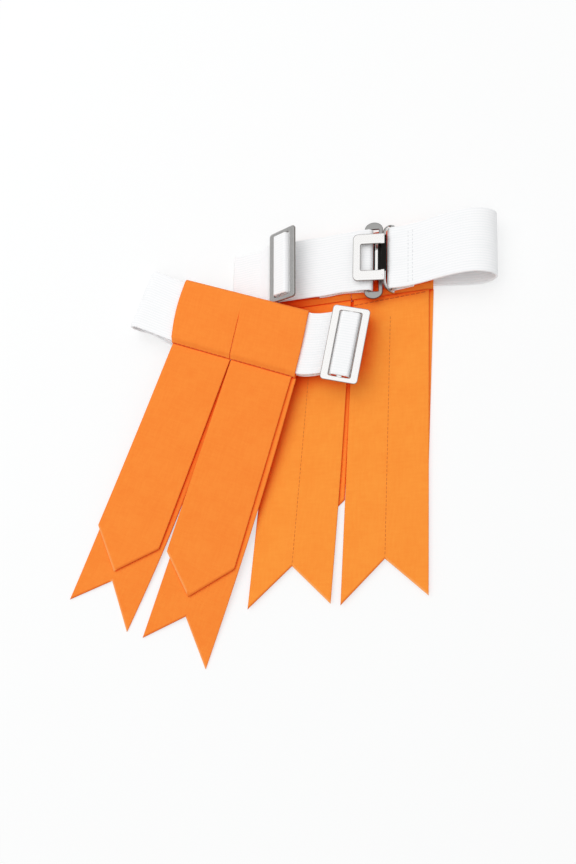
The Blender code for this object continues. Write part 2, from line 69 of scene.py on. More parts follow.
# Each garter is one length of white braided elastic: polyester yarn over rubber cords, which
# gives it ribs along its length. One end is sewn round the hook. The other end runs through the
# cloth sleeve, round the leg, and doubles back through the eye.

MM = 0.001
ELASTIC_WIDTH = 24.5
ELASTIC_THICKNESS = 1.0
RIB_PITCH = 1.0
RIB_DEPTH = 0.03
SELVEDGE = ELASTIC_THICKNESS / 2
ELASTIC_END = 0.3
ELASTIC_WHITE = "#fdfdfe"
ELASTIC_GROOVE_SHADE = "#f6f8f9"

joints = {joint["name"]: joint for joint in frame["joints"]}


def flash_place(hook_joint, hook_at):
    """A flash's own millimetres to the shared frame's metres: its y follows the hook's hinge, and
    hook_at lands on that hinge."""
    across = np.array(joints[hook_joint]["axis"])
    turn = np.array([[across[1], -across[0], 0.0], across, [0.0, 0.0, 1.0]])
    shift = np.array(joints[hook_joint]["pos_m"]) - MM * np.array(hook_at) @ turn
    return lambda points: MM * np.asarray(points) @ turn + shift


REAR_CLASP = (7.55, -1.3, 5.1)
FRONT_CLASP = (-13.0, 0.3671, 5.1)
HOOK_AT = (10.15, 0.0, 0.36)
on_rear = flash_place("rear_hook_open", np.add(REAR_CLASP, HOOK_AT))
on_front = flash_place("front_hook_open", np.add(FRONT_CLASP, np.multiply(HOOK_AT, -1)))


REAR_LINE_Y, REAR_CLIMB = -2.6, 0.1
FRONT_LINE_Y, FRONT_CLIMB = -0.15, -0.095


def rear_line(x):
    """The rear sleeve's middle: a straight line that climbs."""
    return REAR_LINE_Y + REAR_CLIMB * x


def front_line(x):
    """The front sleeve's middle: a straight line that falls."""
    return FRONT_LINE_Y + FRONT_CLIMB * x


def straight(start, end, step=1.3):
    """Stations on the line from start to end, without start."""
    start, end = np.array(start, float), np.array(end, float)
    count = max(2, round(np.linalg.norm(end - start) / step))
    return start + (end - start) * np.linspace(0, 1, count + 1)[1:, None]


def ease(start, end, step=1.1):
    """Stations from start to end, without start: x runs evenly, y and z by 3t^2 - 2t^3."""
    start, end = np.array(start, float), np.array(end, float)
    count = max(6, round(np.linalg.norm(end - start) / step))
    t = np.linspace(0, 1, count + 1)[1:, None]
    smooth = t * t * (3 - 2 * t)
    return start + (end - start) * np.hstack([t, smooth, smooth])


def bow(centre, radii, first, last, y_first, y_last, count=14):
    """Stations round an oval in the xz plane between two angles, while y runs evenly."""
    t = np.linspace(0, 1, count + 1)
    angle = np.radians(first + (last - first) * t)
    x = centre[0] + radii[0] * np.cos(angle)
    z = centre[1] + radii[1] * np.sin(angle)
    return np.stack([x, y_first + (y_last - y_first) * t, z], -1)


def trace(start, *legs):
    """Stations from start on, leg by leg. A leg is stations as they are, or a function with the end
    of its stations, which go on from the last one."""
    path = [np.array([start], float)]
    for leg in legs:
        path += [leg[0](path[-1][-1], *leg[1:]) if isinstance(leg, tuple) else leg]
    return np.vstack(path)


def edge_steps(radius, count=4):
    """Distances in from an edge that is a quarter circle, even in angle: r(1 - cos a)."""
    return radius * (1 - np.cos(np.linspace(0, np.pi / 2, count + 1)))


def places(length, first_edge, last_edge, step):
    """Places from 0 to length: close together over the rounded edges, and an even number of
    steps between them, so that the middle is one of the places."""
    low, high = edge_steps(first_edge), length - edge_steps(last_edge)[::-1]
    count = 2 * max(1, round((high[0] - low[-1]) / step / 2))
    return np.concatenate([low, np.linspace(low[-1], high[0], count + 1)[1:-1], high])


def fullness(place, length, first_edge, last_edge):
    """The share of the thickness: the quarter circle sqrt(1 - (1 - d/r)^2) within r of an edge."""
    first = np.clip(1 - place / first_edge, 0, 1)
    last = np.clip(1 - (length - place) / last_edge, 0, 1)
    return np.sqrt(np.clip((1 - first * first) * (1 - last * last), 0, 1))


def run_along(stations):
    """The length of a path up to each of its stations."""
    return np.concatenate([[0], np.cumsum(np.linalg.norm(np.diff(stations, axis=0), axis=1))])


def grid_quads(grid):
    """The four-sided faces between neighbours in a grid of point numbers."""
    return np.stack([grid[:-1, :-1], grid[1:, :-1], grid[1:, 1:], grid[:-1, 1:]], -1).reshape(-1, 4)


def two_faces(middle, half):
    """A closed sheet: each point of the middle surface moved along its unit normal by plus and
    minus the half thickness. The faces share the rim, where the half thickness is nothing.
    Returns points, faces and the grid place that each point came from."""
    normal = np.cross(np.gradient(middle, axis=0), np.gradient(middle, axis=1))
    normal *= half[..., None] / np.linalg.norm(normal, axis=2, keepdims=True)
    rows, columns = half.shape
    upper = np.arange(rows * columns).reshape(rows, columns)
    inner = upper[1:-1, 1:-1].ravel()
    lower = upper.copy()
    lower[1:-1, 1:-1] = rows * columns + np.arange(inner.size).reshape(rows - 2, columns - 2)
    source = np.concatenate([upper.ravel(), inner])
    points = np.vstack([(middle + normal).reshape(-1, 3), (middle - normal).reshape(-1, 3)[inner]])
    return points, np.vstack([grid_quads(upper), grid_quads(lower)[:, ::-1]]), source


def make_piece(name, points, faces, material, weave=None, **marks):
    """An object at the origin from points in metres and faces. weave is each point's place along
    and across the cloth in metres, kept as a UV map; marks are kept as point attributes."""
    mesh = bpy.data.meshes.new(name)
    mesh.from_pydata(points.tolist(), [], faces.tolist())
    mesh.polygons.foreach_set("use_smooth", np.ones(len(faces), bool))
    if weave is not None:
        corners = np.empty(len(mesh.loops), np.int32)
        mesh.loops.foreach_get("vertex_index", corners)
        layer = mesh.uv_layers.new(name="weave")
        layer.data.foreach_set("uv", weave[corners].astype(np.float32).ravel())
    for label, values in marks.items():
        mark = mesh.attributes.new(label, "FLOAT", "POINT")
        mark.data.foreach_set("value", values.astype(np.float32))
    mesh.materials.append(material)
    piece = bpy.data.objects.new(name, mesh)
    bpy.context.scene.collection.objects.link(piece)
    return piece


def elastic_band(stations, skew=0.0):
    """A ribbed band: a straight section across, thinned by 1 - cos in each rib's groove and
    rounded at the selvedges, carried along the stations. skew shifts x towards the +y edge."""
    run = run_along(stations)
    ends = edge_steps(ELASTIC_END)
    closer = np.unique(np.concatenate([run, ends, run[-1] - ends]))
    x, y, z, shift = (
        np.interp(closer, run, values)[:, None]
        for values in (*stations.T, np.broadcast_to(skew, run.shape))
    )
    place = places(ELASTIC_WIDTH, SELVEDGE, SELVEDGE, step=RIB_PITCH / 4)
    side = place - ELASTIC_WIDTH / 2
    middle = np.stack(np.broadcast_arrays(x + shift * side * 2 / ELASTIC_WIDTH, y + side, z), -1)
    groove = RIB_DEPTH * (0.5 - 0.5 * np.cos(2 * np.pi * side / RIB_PITCH))
    half = (ELASTIC_THICKNESS / 2 - groove) * fullness(place, ELASTIC_WIDTH, SELVEDGE, SELVEDGE)
    half = half * fullness(closer, run[-1], ELASTIC_END, ELASTIC_END)[:, None]
    points, faces, source = two_faces(middle, half)
    weave = np.stack(np.broadcast_arrays(closer[:, None], place), -1).reshape(-1, 2)
    return points, faces, MM * weave[source], run[-1]


def linear(hex_colour):
    """An sRGB hex colour as linear RGBA: c/12.92 below 0.04045, ((c + 0.055)/1.055)^2.4 above."""
    value = np.array([int(hex_colour[i : i + 2], 16) / 255 for i in (1, 3, 5)])
    value = np.where(value <= 0.04045, value / 12.92, ((value + 0.055) / 1.055) ** 2.4)
    return (*value, 1.0)


def new_material(name):
    """A material made of nodes: the material, its node tree and its Principled shader."""
    material = bpy.data.materials.new(name)
    material.use_nodes = True
    return material, material.node_tree, material.node_tree.nodes["Principled BSDF"]


def node(tree, kind, inputs=(), **settings):
    """Adds one node, or takes one that is there, and gives it its settings. An input is a value, an
    output to link, or a node whose first output is linked."""
    made = tree.nodes.new("ShaderNode" + kind) if isinstance(kind, str) else kind
    for name, value in settings.items():
        setattr(made, name, value)
    for name, value in dict(inputs).items():
        if isinstance(value, bpy.types.Node):
            value = value.outputs[0]
        if isinstance(value, bpy.types.NodeSocket):
            tree.links.new(value, made.inputs[name])
        else:
            made.inputs[name].default_value = value
    return made


# Braided polyester elastic: matt white yarn, with painted shade that makes it a little greyer
# down in the grooves between ribs.
# The picks across it are about 0.6 mm in reality; at 1 mm they show in the picture. The yarn has
# streaks of thicker and thinner fibre along it.
PICK_PITCH = 1.0
STREAK_LENGTH, STREAK_WIDTH = 11.1, 1.43
elastic, tree, shader = new_material("braided_polyester_elastic")
node(tree, shader, {"Roughness": 0.82, "Specular IOR Level": 0.25, "Sheen Weight": 0.15})
uv = node(tree, "UVMap", uv_map="weave")
apart = node(tree, "SeparateXYZ", {"Vector": uv.outputs["UV"]})
turns = 2 * np.pi / MM
rib = node(
    tree,
    "Math",
    {0: apart.outputs["Y"], 1: turns / RIB_PITCH, 2: -np.pi * ELASTIC_WIDTH / RIB_PITCH},
    operation="MULTIPLY_ADD",
)
rib = node(tree, "Math", {0: rib}, operation="COSINE")
pick = node(tree, "Math", {0: apart.outputs["X"], 1: turns / PICK_PITCH}, operation="MULTIPLY")
pick = node(tree, "Math", {0: pick}, operation="COSINE")
braid = node(tree, "Math", {0: rib, 1: pick}, operation="MULTIPLY")
# Painted shade: the grooves between the ribs are mixed towards the greyer colour.
groove_shade_share = node(tree, "MapRange", {"Value": rib, "From Min": -1.0, "From Max": 0.2})
streaks = (1 / (STREAK_LENGTH * MM), 1 / (STREAK_WIDTH * MM), 1)
stretch = node(tree, "Mapping", {"Vector": uv.outputs["UV"], "Scale": streaks})
yarn = node(tree, "TexNoise", {"Vector": stretch, "Scale": 1.0, "Detail": 2.0})
shade = node(tree, "Math", {0: groove_shade_share, 1: yarn}, operation="MULTIPLY")
shade = node(tree, "MapRange", {"Value": shade, "From Min": 0.0, "From Max": 0.45})
colour = node(
    tree,
    "Mix",
    {0: shade, 6: linear(ELASTIC_GROOVE_SHADE), 7: linear(ELASTIC_WHITE)},
    data_type="RGBA",
)
bump = node(tree, "Bump", {"Height": braid, "Strength": 0.15, "Distance": 0.06 * MM})
node(tree, shader, {"Base Color": colour.outputs[2], "Normal": bump})

# The levels of the elastic's middle over the table, its wraps round the clasp and its run-ins, and
# the closer step between stations where it climbs.
TABLE_LEVEL = 0.5
SLOT_LEVEL = 1.5
REAR_RETURN, REAR_UPPER = 3.8, 5.1
FRONT_LOWER, FRONT_RETURN, FRONT_UPPER = 5.1, 6.4, 8.7
EYE_WRAP, HOOK_WRAP = 1.3, 1.66
EYE_BAR = 1.6
SEWN_END = 8.0
MOUTH = 2.0
RUN_IN = 0.3
HOOK_START = 0.01
STEEP_STEP = 0.6

# How far the rear garter's loop and fold reach past the sleeve, and how its layers slant.
REAR_END = 31.5
REAR_LOOP_RUN, REAR_LOOP_TOP, REAR_LOOP_DEPTH = 16.2, 12.2, 8.0
REAR_LOOP_FALL, REAR_LOOP_TWIST = 0.03, 0.9
REAR_FOLD_RUN, REAR_FOLD_RADIUS = 15.1, 0.65
REAR_RAMP_FOOT, REAR_RAMP_LIFT, REAR_RAMP_RUN = 5.0, 1.6, 19.0
REAR_SEWN_SKEW, REAR_TONGUE_END = 1.5, -11.0
REAR_FOLD_SLANT, REAR_FOOT_SLANT, REAR_RAMP_SLANT = 0.01, 0.04, 0.06
clasp_y = REAR_CLASP[1]
eye_x, eye_z = REAR_CLASP[0], REAR_CLASP[2]
hook_x, hook_z = eye_x + HOOK_AT[0], eye_z + HOOK_AT[2]
loop_x, loop_z = REAR_END + REAR_LOOP_RUN, (REAR_LOOP_TOP + TABLE_LEVEL) / 2
loop_y = rear_line(loop_x) - REAR_LOOP_FALL * loop_x
fold_x = -REAR_END - REAR_FOLD_RUN
fold_y = rear_line(fold_x) + REAR_FOLD_SLANT * REAR_END
foot_y = fold_y + REAR_FOOT_SLANT * REAR_END
ramp_foot = (-REAR_END - REAR_RAMP_FOOT, foot_y, TABLE_LEVEL + REAR_RAMP_LIFT)
ramp_y = rear_line(-REAR_END) + REAR_RAMP_SLANT * REAR_END
ramp_start = np.array([-REAR_END - RUN_IN, ramp_y, REAR_RETURN])
ramp_end = np.array([-REAR_END + REAR_RAMP_RUN, (ramp_y + clasp_y) / 2, REAR_UPPER])
climb = eye_x - EYE_BAR / 2 - RUN_IN
hook_bow = bow((hook_x, hook_z), (HOOK_WRAP, HOOK_WRAP), 270, 90, clasp_y, clasp_y)
sewn_over = ease(hook_bow[-1], (loop_x, loop_y + REAR_LOOP_TWIST, REAR_LOOP_TOP))
loop_radii = (REAR_LOOP_DEPTH, loop_z - TABLE_LEVEL)
fold_radii = (REAR_FOLD_RADIUS, REAR_FOLD_RADIUS)
eye_bow = bow((eye_x + EYE_BAR / 2, eye_z), (EYE_WRAP, EYE_WRAP), 90, -90, clasp_y, clasp_y)
stations = trace(
    (hook_x + SEWN_END, clasp_y + REAR_SEWN_SKEW, REAR_RETURN),
    (straight, (hook_x + HOOK_START, clasp_y, REAR_RETURN)),
    hook_bow,
    sewn_over,
    bow((loop_x, loop_z), loop_radii, 90, -90, loop_y + REAR_LOOP_TWIST, loop_y, count=26)[1:],
    (ease, (REAR_END + MOUTH, rear_line(REAR_END + MOUTH), SLOT_LEVEL)),
    (straight, (-REAR_END - MOUTH, rear_line(-REAR_END - MOUTH), SLOT_LEVEL)),
    (ease, (fold_x + 2 * MOUTH, fold_y, TABLE_LEVEL)),
    bow((fold_x, TABLE_LEVEL + REAR_FOLD_RADIUS), fold_radii, 270, 90, fold_y, fold_y),
    (ease, ramp_foot),
    (ease, ramp_start, STEEP_STEP),
    (straight, ramp_end),
    (ease, (climb - 3 * MOUTH, clasp_y, REAR_UPPER)),
    (ease, (climb, clasp_y, eye_z + EYE_WRAP), STEEP_STEP),
    (straight, eye_bow[0]),
    eye_bow[1:],
    (straight, (climb - 3 * MOUTH, clasp_y, REAR_RETURN)),
    (ease, (REAR_TONGUE_END, ramp_end[1], REAR_RETURN)),
)
points, faces, weave, rear_length = elastic_band(stations)
rear_strap = make_piece("rear_strap_elastic", on_rear(points), faces, elastic, weave)
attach(rear_strap, "rear_flash")
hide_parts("rear_strap")

# The front garter is turned over: its fold stands at its left end, and its loop holds the slider.
FRONT_END = 26.6
FRONT_FOLD_RUN, FRONT_FOLD_LIFT, FRONT_FOLD_DEPTH = 15.4, 0.3, 3.5
FRONT_FOLD_SHIFT, FRONT_FOLD_SKEW = 1.5, 2.0
FRONT_LOOP_RUN, FRONT_LOOP_DEPTH, FRONT_LOOP_TWIST = 19.4, 3.0, 1.2
FRONT_LOOP_Y, FRONT_LEAVE, FRONT_LEAVE_SHIFT = 1.5, 1.0, 0.7
FRONT_SEWN_SKEW, FRONT_TONGUE_END = 2.4, 34.0
clasp_y = FRONT_CLASP[1]
eye_x, eye_z = FRONT_CLASP[0], FRONT_CLASP[2]
hook_x, hook_z = eye_x - HOOK_AT[0], eye_z - HOOK_AT[2]
fold_x, fold_low = -FRONT_END - FRONT_FOLD_RUN, TABLE_LEVEL + FRONT_FOLD_LIFT
fold_y, fold_z = front_line(fold_x) + FRONT_FOLD_SHIFT, (FRONT_UPPER + fold_low) / 2
leave_x = FRONT_END + FRONT_LEAVE
leave = (leave_x, front_line(leave_x) + FRONT_LEAVE_SHIFT)
loop_x, loop_z = FRONT_END + FRONT_LOOP_RUN, (FRONT_UPPER + FRONT_LOWER) / 2
climb = eye_x + EYE_BAR / 2 + RUN_IN
mouth_x = -FRONT_END - MOUTH
fold_radii = (FRONT_FOLD_DEPTH, FRONT_UPPER - fold_z)
loop_radii = (FRONT_LOOP_DEPTH, FRONT_UPPER - loop_z)
loop_low_y = FRONT_LOOP_Y + FRONT_LOOP_TWIST
eye_bow = bow((eye_x - EYE_BAR / 2, eye_z), (EYE_WRAP, EYE_WRAP), 270, 90, clasp_y, clasp_y)
stations = trace(
    (hook_x - SEWN_END, clasp_y + FRONT_SEWN_SKEW, FRONT_RETURN),
    (straight, (hook_x - HOOK_START, clasp_y, FRONT_RETURN)),
    bow((hook_x, hook_z), (HOOK_WRAP, HOOK_WRAP), 90, -90, clasp_y, clasp_y),
    (ease, (fold_x, fold_y, fold_low)),
    bow((fold_x, fold_z), fold_radii, 270, 90, fold_y, fold_y, count=22)[1:],
    (straight, (mouth_x, front_line(mouth_x), FRONT_UPPER)),
    (straight, (*leave, FRONT_UPPER)),
    (ease, (loop_x - MOUTH, FRONT_LOOP_Y, FRONT_UPPER)),
    bow((loop_x, loop_z), loop_radii, 90, -90, FRONT_LOOP_Y, loop_low_y, count=20),
    (ease, (*leave, FRONT_LOWER)),
    (ease, (climb + 6 * MOUTH, clasp_y, FRONT_LOWER)),
    (straight, (climb + 4 * MOUTH, clasp_y, FRONT_LOWER)),
    (ease, (climb, clasp_y, eye_z - EYE_WRAP), STEEP_STEP),
    (straight, eye_bow[0]),
    eye_bow[1:],
    (straight, (climb + 6 * MOUTH, clasp_y, FRONT_RETURN)),
    (ease, (*leave, FRONT_RETURN)),
    (ease, (FRONT_TONGUE_END, (leave[1] + FRONT_LOOP_Y) / 2, FRONT_RETURN)),
)
fold_skew = FRONT_FOLD_SKEW * np.clip((mouth_x - stations[:, 0]) / FRONT_FOLD_RUN, 0, 1)
points, faces, weave, front_length = elastic_band(stations, fold_skew)
front_strap = make_piece("front_strap_elastic", on_front(points), faces, elastic, weave)
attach(front_strap, "front_flash")
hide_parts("front_strap")


# Eyes and hooks

# The clasp is pressed from 1 mm steel strip and nickel plated. The eye is a link with one slot and
# round ears; a near-black sheet folded over its far bar is painted shadow, the shade down inside
# the clasp. The hook is a C-shaped plate with a bent ring, which holds the elastic's sewn end, and
# two prongs for the eye's slot.

PLATE = 1.0
PRESSED_EDGE = 0.3
FLAT_FROM_EDGE = 2.2
SLOT_LENGTH = 25.1
EYE_PITCH, EYE_EAR = 5.5, 2.9
HOOK_BAR, HOOK_PITCH, HOOK_EAR = 1.4, 4.4, 1.1
HOOK_RING_TILT, HOOK_RING_EDGE, HOOK_RING_OVERLAP, HOOK_RING_PLAY = 40.0, 0.2, 0.2, 0.2
HOOK_RING_BAR, HOOK_RING_ARM = 0.9, 1.0
HOOK_PLATE_LENGTH, HOOK_PLATE_WIDTH, HOOK_PLATE_PAST = 11.8, 18.7, 0.5
HOOK_ARM, HOOK_END_BAR, HOOK_CORNER, HOOK_BEND_CORNER = 4.1, 3.0, 2.0, 0.6
WINDOW_STOP, WINDOW_CORNER, WINDOW_BEND_CORNER = 0.9, 0.6, 0.4
KEEPER_WIDTH, KEEPER_THICKNESS, LIP_THICKNESS = 14.0, 0.4, 0.5
KEEPER_OVER, KEEPER_UNDER, KEEPER_LIP = (4.4, 7.65), (2.75, 7.6), (3.3, 4.5)
PRONG_AT, PRONG_WIDTH, PRONG_TIP = -6.5, 1.8, -1.56
PRONG_THICKNESS, PRONG_PLAY = 0.8, 0.3
LEAF_ROOT, LEAF_EDGE, LEAF_THICKNESS, LEAF_RISE = (-0.95, 0.9), (0.25, 1.1), 0.6, 0.35
LEAF_EDGE_WIDTH, LEAF_EDGE_SHIFT = 14.4, (0, 1.45, 0.02)
REAR_HOOK_LIFT = 2.0
SCUFF_DRAWN, POLISH_CLOUD = 0.8, 6.0
POLISH_SHADE, RIM_PAINTED_SHADE = (0.97, 0.97, 0.98, 1), (0.3, 0.28, 0.27, 1)
NICKEL_BRIGHT = "#fbfaf8"
NICKEL_PAINTED_DIMMER = "#ebeae8"
NICKEL_PAINTED_GREY = "#aeadab"
SHADOW_BLACK = "#232221"


def eared_loop(x0, x1, half, ear, side=10, end=16):
    """A link's outline: straight sides at x0 and x1 between plus and minus half, and a half oval
    that stands ear past them at each end. With no ear it is a plain slot."""
    rise = np.linspace(-half, half, side, endpoint=False)
    angle = np.linspace(0, np.pi, end, endpoint=False)
    mid, reach = (x0 + x1) / 2, (x1 - x0) / 2
    up = np.stack([np.full(side, x1), rise], -1)
    over = np.stack([mid + reach * np.cos(angle), half + ear * np.sin(angle)], -1)
    return np.vstack([up, over, (2 * mid, 0) - up, (2 * mid, 0) - over])


def arm_loop(x0, x1, near, far, corner=0.6, side=8, turn=5, arc=12):
    """A ring's outline: a long side at x1 between plus and minus far with round corners, a short
    side at x0 between plus and minus near, and a quarter oval from one to the other."""
    turn_x = x1 - corner
    rise = np.linspace(corner - far, far - corner, side, endpoint=False)
    a, b = np.linspace(0, np.pi / 2, turn, endpoint=False), np.linspace(0, np.pi / 2, arc)
    up = np.stack([np.full(side, x1), rise], -1)
    knee = np.stack([turn_x + corner * np.cos(a), far - corner * (1 - np.sin(a))], -1)
    arm = np.stack([turn_x - (turn_x - x0) * np.sin(b), near + (far - near) * np.cos(b)], -1)
    down = np.stack([np.full(side, x0), np.linspace(near, -near, side + 2)[1:-1]], -1)
    over = np.vstack([knee, arm])
    return np.vstack([up, over, down, over[:0:-1] * (1, -1)])


def cornered_loop(x0, x1, y0, y1, left, right, steps=6):
    """A rectangle's outline with a quarter circle of steps at each corner, of radius left at x0 and
    right at x1."""
    angle = np.pi * np.arange(4)[:, None] / 2 + np.linspace(-np.pi / 2, 0, steps + 1)
    radius = np.array([right, right, left, left])[:, None]
    x = np.array([x1 - right, x1 - right, x0 + left, x0 + left])[:, None] + radius * np.cos(angle)
    y = np.array([y0 + right, y1 - right, y1 - left, y0 + left])[:, None] + radius * np.sin(angle)
    return np.stack([x, y], -1).reshape(-1, 2)


def loop_normal(loop):
    """Each point's unit normal in the plane, out of an anticlockwise loop."""
    along = np.roll(loop, -1, 0) - np.roll(loop, 1, 0)
    out = np.stack([along[:, 1], -along[:, 0]], -1)
    return out / np.linalg.norm(out, axis=1, keepdims=True)


def pressed_link(outer, inner, thickness=PLATE, edge=PRESSED_EDGE, level=0.0):
    """A flat plate between two matched loops. Its section goes up the hole's wall, over a quarter
    round r(1 - sin a), r(1 - cos a), across the top, over the rim's quarter round and back
    underneath, and it is carried round the loops. The mark is 1 on the walls, 0 on the flats."""
    angle = np.linspace(0, np.pi / 2, 4)
    inset = np.concatenate([[FLAT_FROM_EDGE * edge], edge * (1 - np.sin(angle))])
    height = thickness / 2 - np.concatenate([[0], edge * (1 - np.cos(angle))])
    hole = inner + loop_normal(inner) * inset[:, None, None]
    rim = outer - loop_normal(outer) * inset[:, None, None]
    section = np.concatenate([hole[::-1], rim, rim[::-1], hole])
    z = np.concatenate([height[::-1], height, -height[::-1], -height])[:, None, None]
    points = np.concatenate([section, np.broadcast_to(level + z, (*section.shape[:2], 1))], -1)
    rows, columns = points.shape[:2]
    grid = np.arange(rows * columns).reshape(rows, columns)
    grid = np.pad(grid, ((0, 1), (0, 1)), mode="wrap")
    wall = np.clip(1 - inset / edge, 0, 1)
    wall = np.repeat(np.concatenate([wall[::-1], wall, wall[::-1], wall]), columns)
    return points.reshape(-1, 3), grid_quads(grid), wall


def pressed_tongue(x_middle, y_middle, width, low, high, thickness, side=0.3, tip=0.4, root=0.2):
    """An upright tongue: a grid over its width and height, with its edges rounded by the quarter
    circles side, tip and root."""
    y, z = places(width, side, side, step=0.6), places(high - low, tip, root, step=0.6)
    across, up = fullness(y, width, side, side), fullness(z, high - low, tip, root)
    half = thickness / 2 * across * up[:, None]
    grid = np.broadcast_arrays(x_middle, y_middle - width / 2 + y, low + z[:, None])
    points, faces, _ = two_faces(np.stack(grid, -1).astype(float), half)
    return points, faces, np.zeros(len(points))


def tilt(points, degrees, place=(0, 0, 0)):
    """Points turned about the y axis, then moved."""
    c, s = np.cos(np.radians(degrees)), np.sin(np.radians(degrees))
    return points @ np.array([[c, 0, -s], [0, 1, 0], [s, 0, c]]) + np.array(place)


def together(*shapes):
    """Several shapes' points, faces and point marks as one."""
    starts = np.cumsum([0] + [len(shape[0]) for shape in shapes[:-1]])
    points, faces, *marks = zip(*shapes)
    faces = [face + start for face, start in zip(faces, starts)]
    return [np.concatenate(part) for part in (points, faces, *marks)]


def pressed_steel(name, hex_colour, roughness):
    """Pressed steel: nickel plate, or a near-black steel that is painted shadow. A hard skin that
    mirrors the room, blurred a little by the barrel polish, whose fine scuffs are 0.4 mm apart and
    are drawn at 0.8 mm so that they show. The plate's walls are painted dark: painted shade and
    darker reflection, as an outline along its rims."""
    material, tree, shader = new_material(name)
    place = node(tree, "TexCoord")
    scuff = node(
        tree,
        "TexNoise",
        {"Vector": place.outputs["Object"], "Scale": 1 / (SCUFF_DRAWN * MM), "Detail": 3.0},
    )
    cloud = node(
        tree,
        "TexNoise",
        {"Vector": place.outputs["Object"], "Scale": 1 / (POLISH_CLOUD * MM), "Detail": 2.0},
    )
    dull = node(
        tree,
        "MapRange",
        {
            "Value": scuff,
            "From Min": 0.3,
            "From Max": 0.7,
            "To Min": roughness - 0.03,
            "To Max": roughness + 0.04,
        },
    )
    tint = np.array(linear(hex_colour))
    tone = node(tree, "Mix", {0: cloud, 6: tuple(tint * POLISH_SHADE), 7: tuple(tint)}, data_type="RGBA")
    # Painted shade: where the wall mark is 1, the metal's colour drops to a dark share of itself, a
    # painted outline along the rims.
    wall = node(tree, "Attribute", attribute_name="wall")
    tone = node(
        tree,
        "Mix",
        {0: wall.outputs["Fac"], 6: tone.outputs[2], 7: tuple(tint * RIM_PAINTED_SHADE)},
        data_type="RGBA",
    )
    bump = node(tree, "Bump", {"Height": scuff, "Strength": 0.04, "Distance": 0.02 * MM})
    looks = {"Base Color": tone.outputs[2], "Metallic": 1.0, "Roughness": dull, "Normal": bump}
    node(tree, shader, looks)
    return material


bright_nickel = pressed_steel("bright_nickel_plate_on_steel", NICKEL_BRIGHT, 0.16)
# Painted shade: the rear slider gets a dimmer copy of the same nickel plate, for its dimmer reflection.
dimmer_shaded_nickel = pressed_steel("nickel_plate_painted_dimmer", NICKEL_PAINTED_DIMMER, 0.22)
# Painted shade: the eyes get a greyer copy of the same nickel plate, for their darker reflection.
grey_shaded_nickel = pressed_steel("nickel_plate_painted_grey", NICKEL_PAINTED_GREY, 0.34)
# Painted shadow: a near-black steel for the keeper and the leaf, which stand where the clasp is in shade.
painted_shadow_steel = pressed_steel("dark_steel_painted_shadow", SHADOW_BLACK, 0.4)

half_slot = SLOT_LENGTH / 2
eye_left, eye_right = -EYE_BAR / 2, EYE_PITCH + EYE_BAR / 2
eye = pressed_link(
    eared_loop(eye_left, eye_right, half_slot, EYE_EAR),
    eared_loop(eye_left + EYE_BAR, eye_right - EYE_BAR, half_slot, 0.0),
)
plate_half = HOOK_PLATE_WIDTH / 2
ring_left, ring_right = -HOOK_PITCH - HOOK_RING_OVERLAP, HOOK_BAR / 2
hole_left, hole_right = ring_left + HOOK_RING_BAR, ring_right - HOOK_BAR
ring_points, *ring_rest = pressed_link(
    arm_loop(ring_left, ring_right, plate_half, half_slot + HOOK_EAR),
    arm_loop(hole_left, hole_right, plate_half - HOOK_RING_ARM, half_slot + HOOK_RING_PLAY),
    edge=HOOK_RING_EDGE,
)
bend_x = -HOOK_PITCH * np.cos(np.radians(HOOK_RING_TILT))
bend_z = HOOK_PITCH * np.sin(np.radians(HOOK_RING_TILT))
window = plate_half - HOOK_ARM
plate_left, plate_right = bend_x - HOOK_PLATE_LENGTH, bend_x + HOOK_PLATE_PAST
window_left, window_right = plate_left + HOOK_END_BAR, bend_x - WINDOW_STOP
corners = (WINDOW_CORNER, WINDOW_BEND_CORNER)
c_plate = pressed_link(
    cornered_loop(plate_left, plate_right, -plate_half, plate_half, HOOK_CORNER, HOOK_BEND_CORNER),
    cornered_loop(window_left, window_right, -window, window, *corners),
    level=bend_z,
)
prong_y = KEEPER_WIDTH / 2 + PRONG_PLAY + PRONG_WIDTH / 2
prongs = [
    pressed_tongue(PRONG_AT, side * prong_y, PRONG_WIDTH, PRONG_TIP, bend_z, PRONG_THICKNESS)
    for side in (-1, 1)
]
hook = together(c_plate, (tilt(ring_points, HOOK_RING_TILT), *ring_rest), *prongs)


def steel_leaf(x0, x1, width, thickness, edge=0.15, end=0.15, steps=(0.8, 1.5)):
    """A flat leaf: a grid over its length and width. Its sides at x0 and x1 are rounded by the
    quarter circle edge, and its two ends by the quarter circle end."""
    x, y = places(x1 - x0, edge, edge, steps[0]), places(width, end, end, steps[1])
    along, across = fullness(x, x1 - x0, edge, edge), fullness(y, width, end, end)
    half = thickness / 2 * along * across[:, None]
    grid = np.broadcast_arrays(x0 + x, width / 2 - y[:, None], 0.0)
    points, faces, _ = two_faces(np.stack(grid, -1).astype(float), half)
    return points, faces


# The keeper is a near-black strip folded over the eye's far bar, painted shadow for the shade
# inside the clasp, with a plated lip at the slot. The near-black leaf set in the end of the hook's
# plate, next to the elastic, is painted shadow too.
over_points, over_faces = steel_leaf(*KEEPER_OVER, KEEPER_WIDTH, KEEPER_THICKNESS)
under_points, under_faces = steel_leaf(*KEEPER_UNDER, KEEPER_WIDTH, KEEPER_THICKNESS)
keeper_points, keeper_faces = together(
    (over_points + (0, 0, PLATE / 2), over_faces), (under_points - (0, 0, PLATE / 2), under_faces)
)
lip_points, lip_faces = steel_leaf(*KEEPER_LIP, KEEPER_WIDTH, LIP_THICKNESS)
lip_points = lip_points + (0, 0, PLATE / 2)
leaf_root = steel_leaf(*LEAF_ROOT, 2 * window, LEAF_THICKNESS)
edge_points, edge_faces = steel_leaf(*LEAF_EDGE, LEAF_EDGE_WIDTH, LEAF_THICKNESS)
leaf_points, leaf_faces = together(leaf_root, (edge_points + LEAF_EDGE_SHIFT, edge_faces))
leaf_points = leaf_points + (bend_x, 0, bend_z + LEAF_RISE)

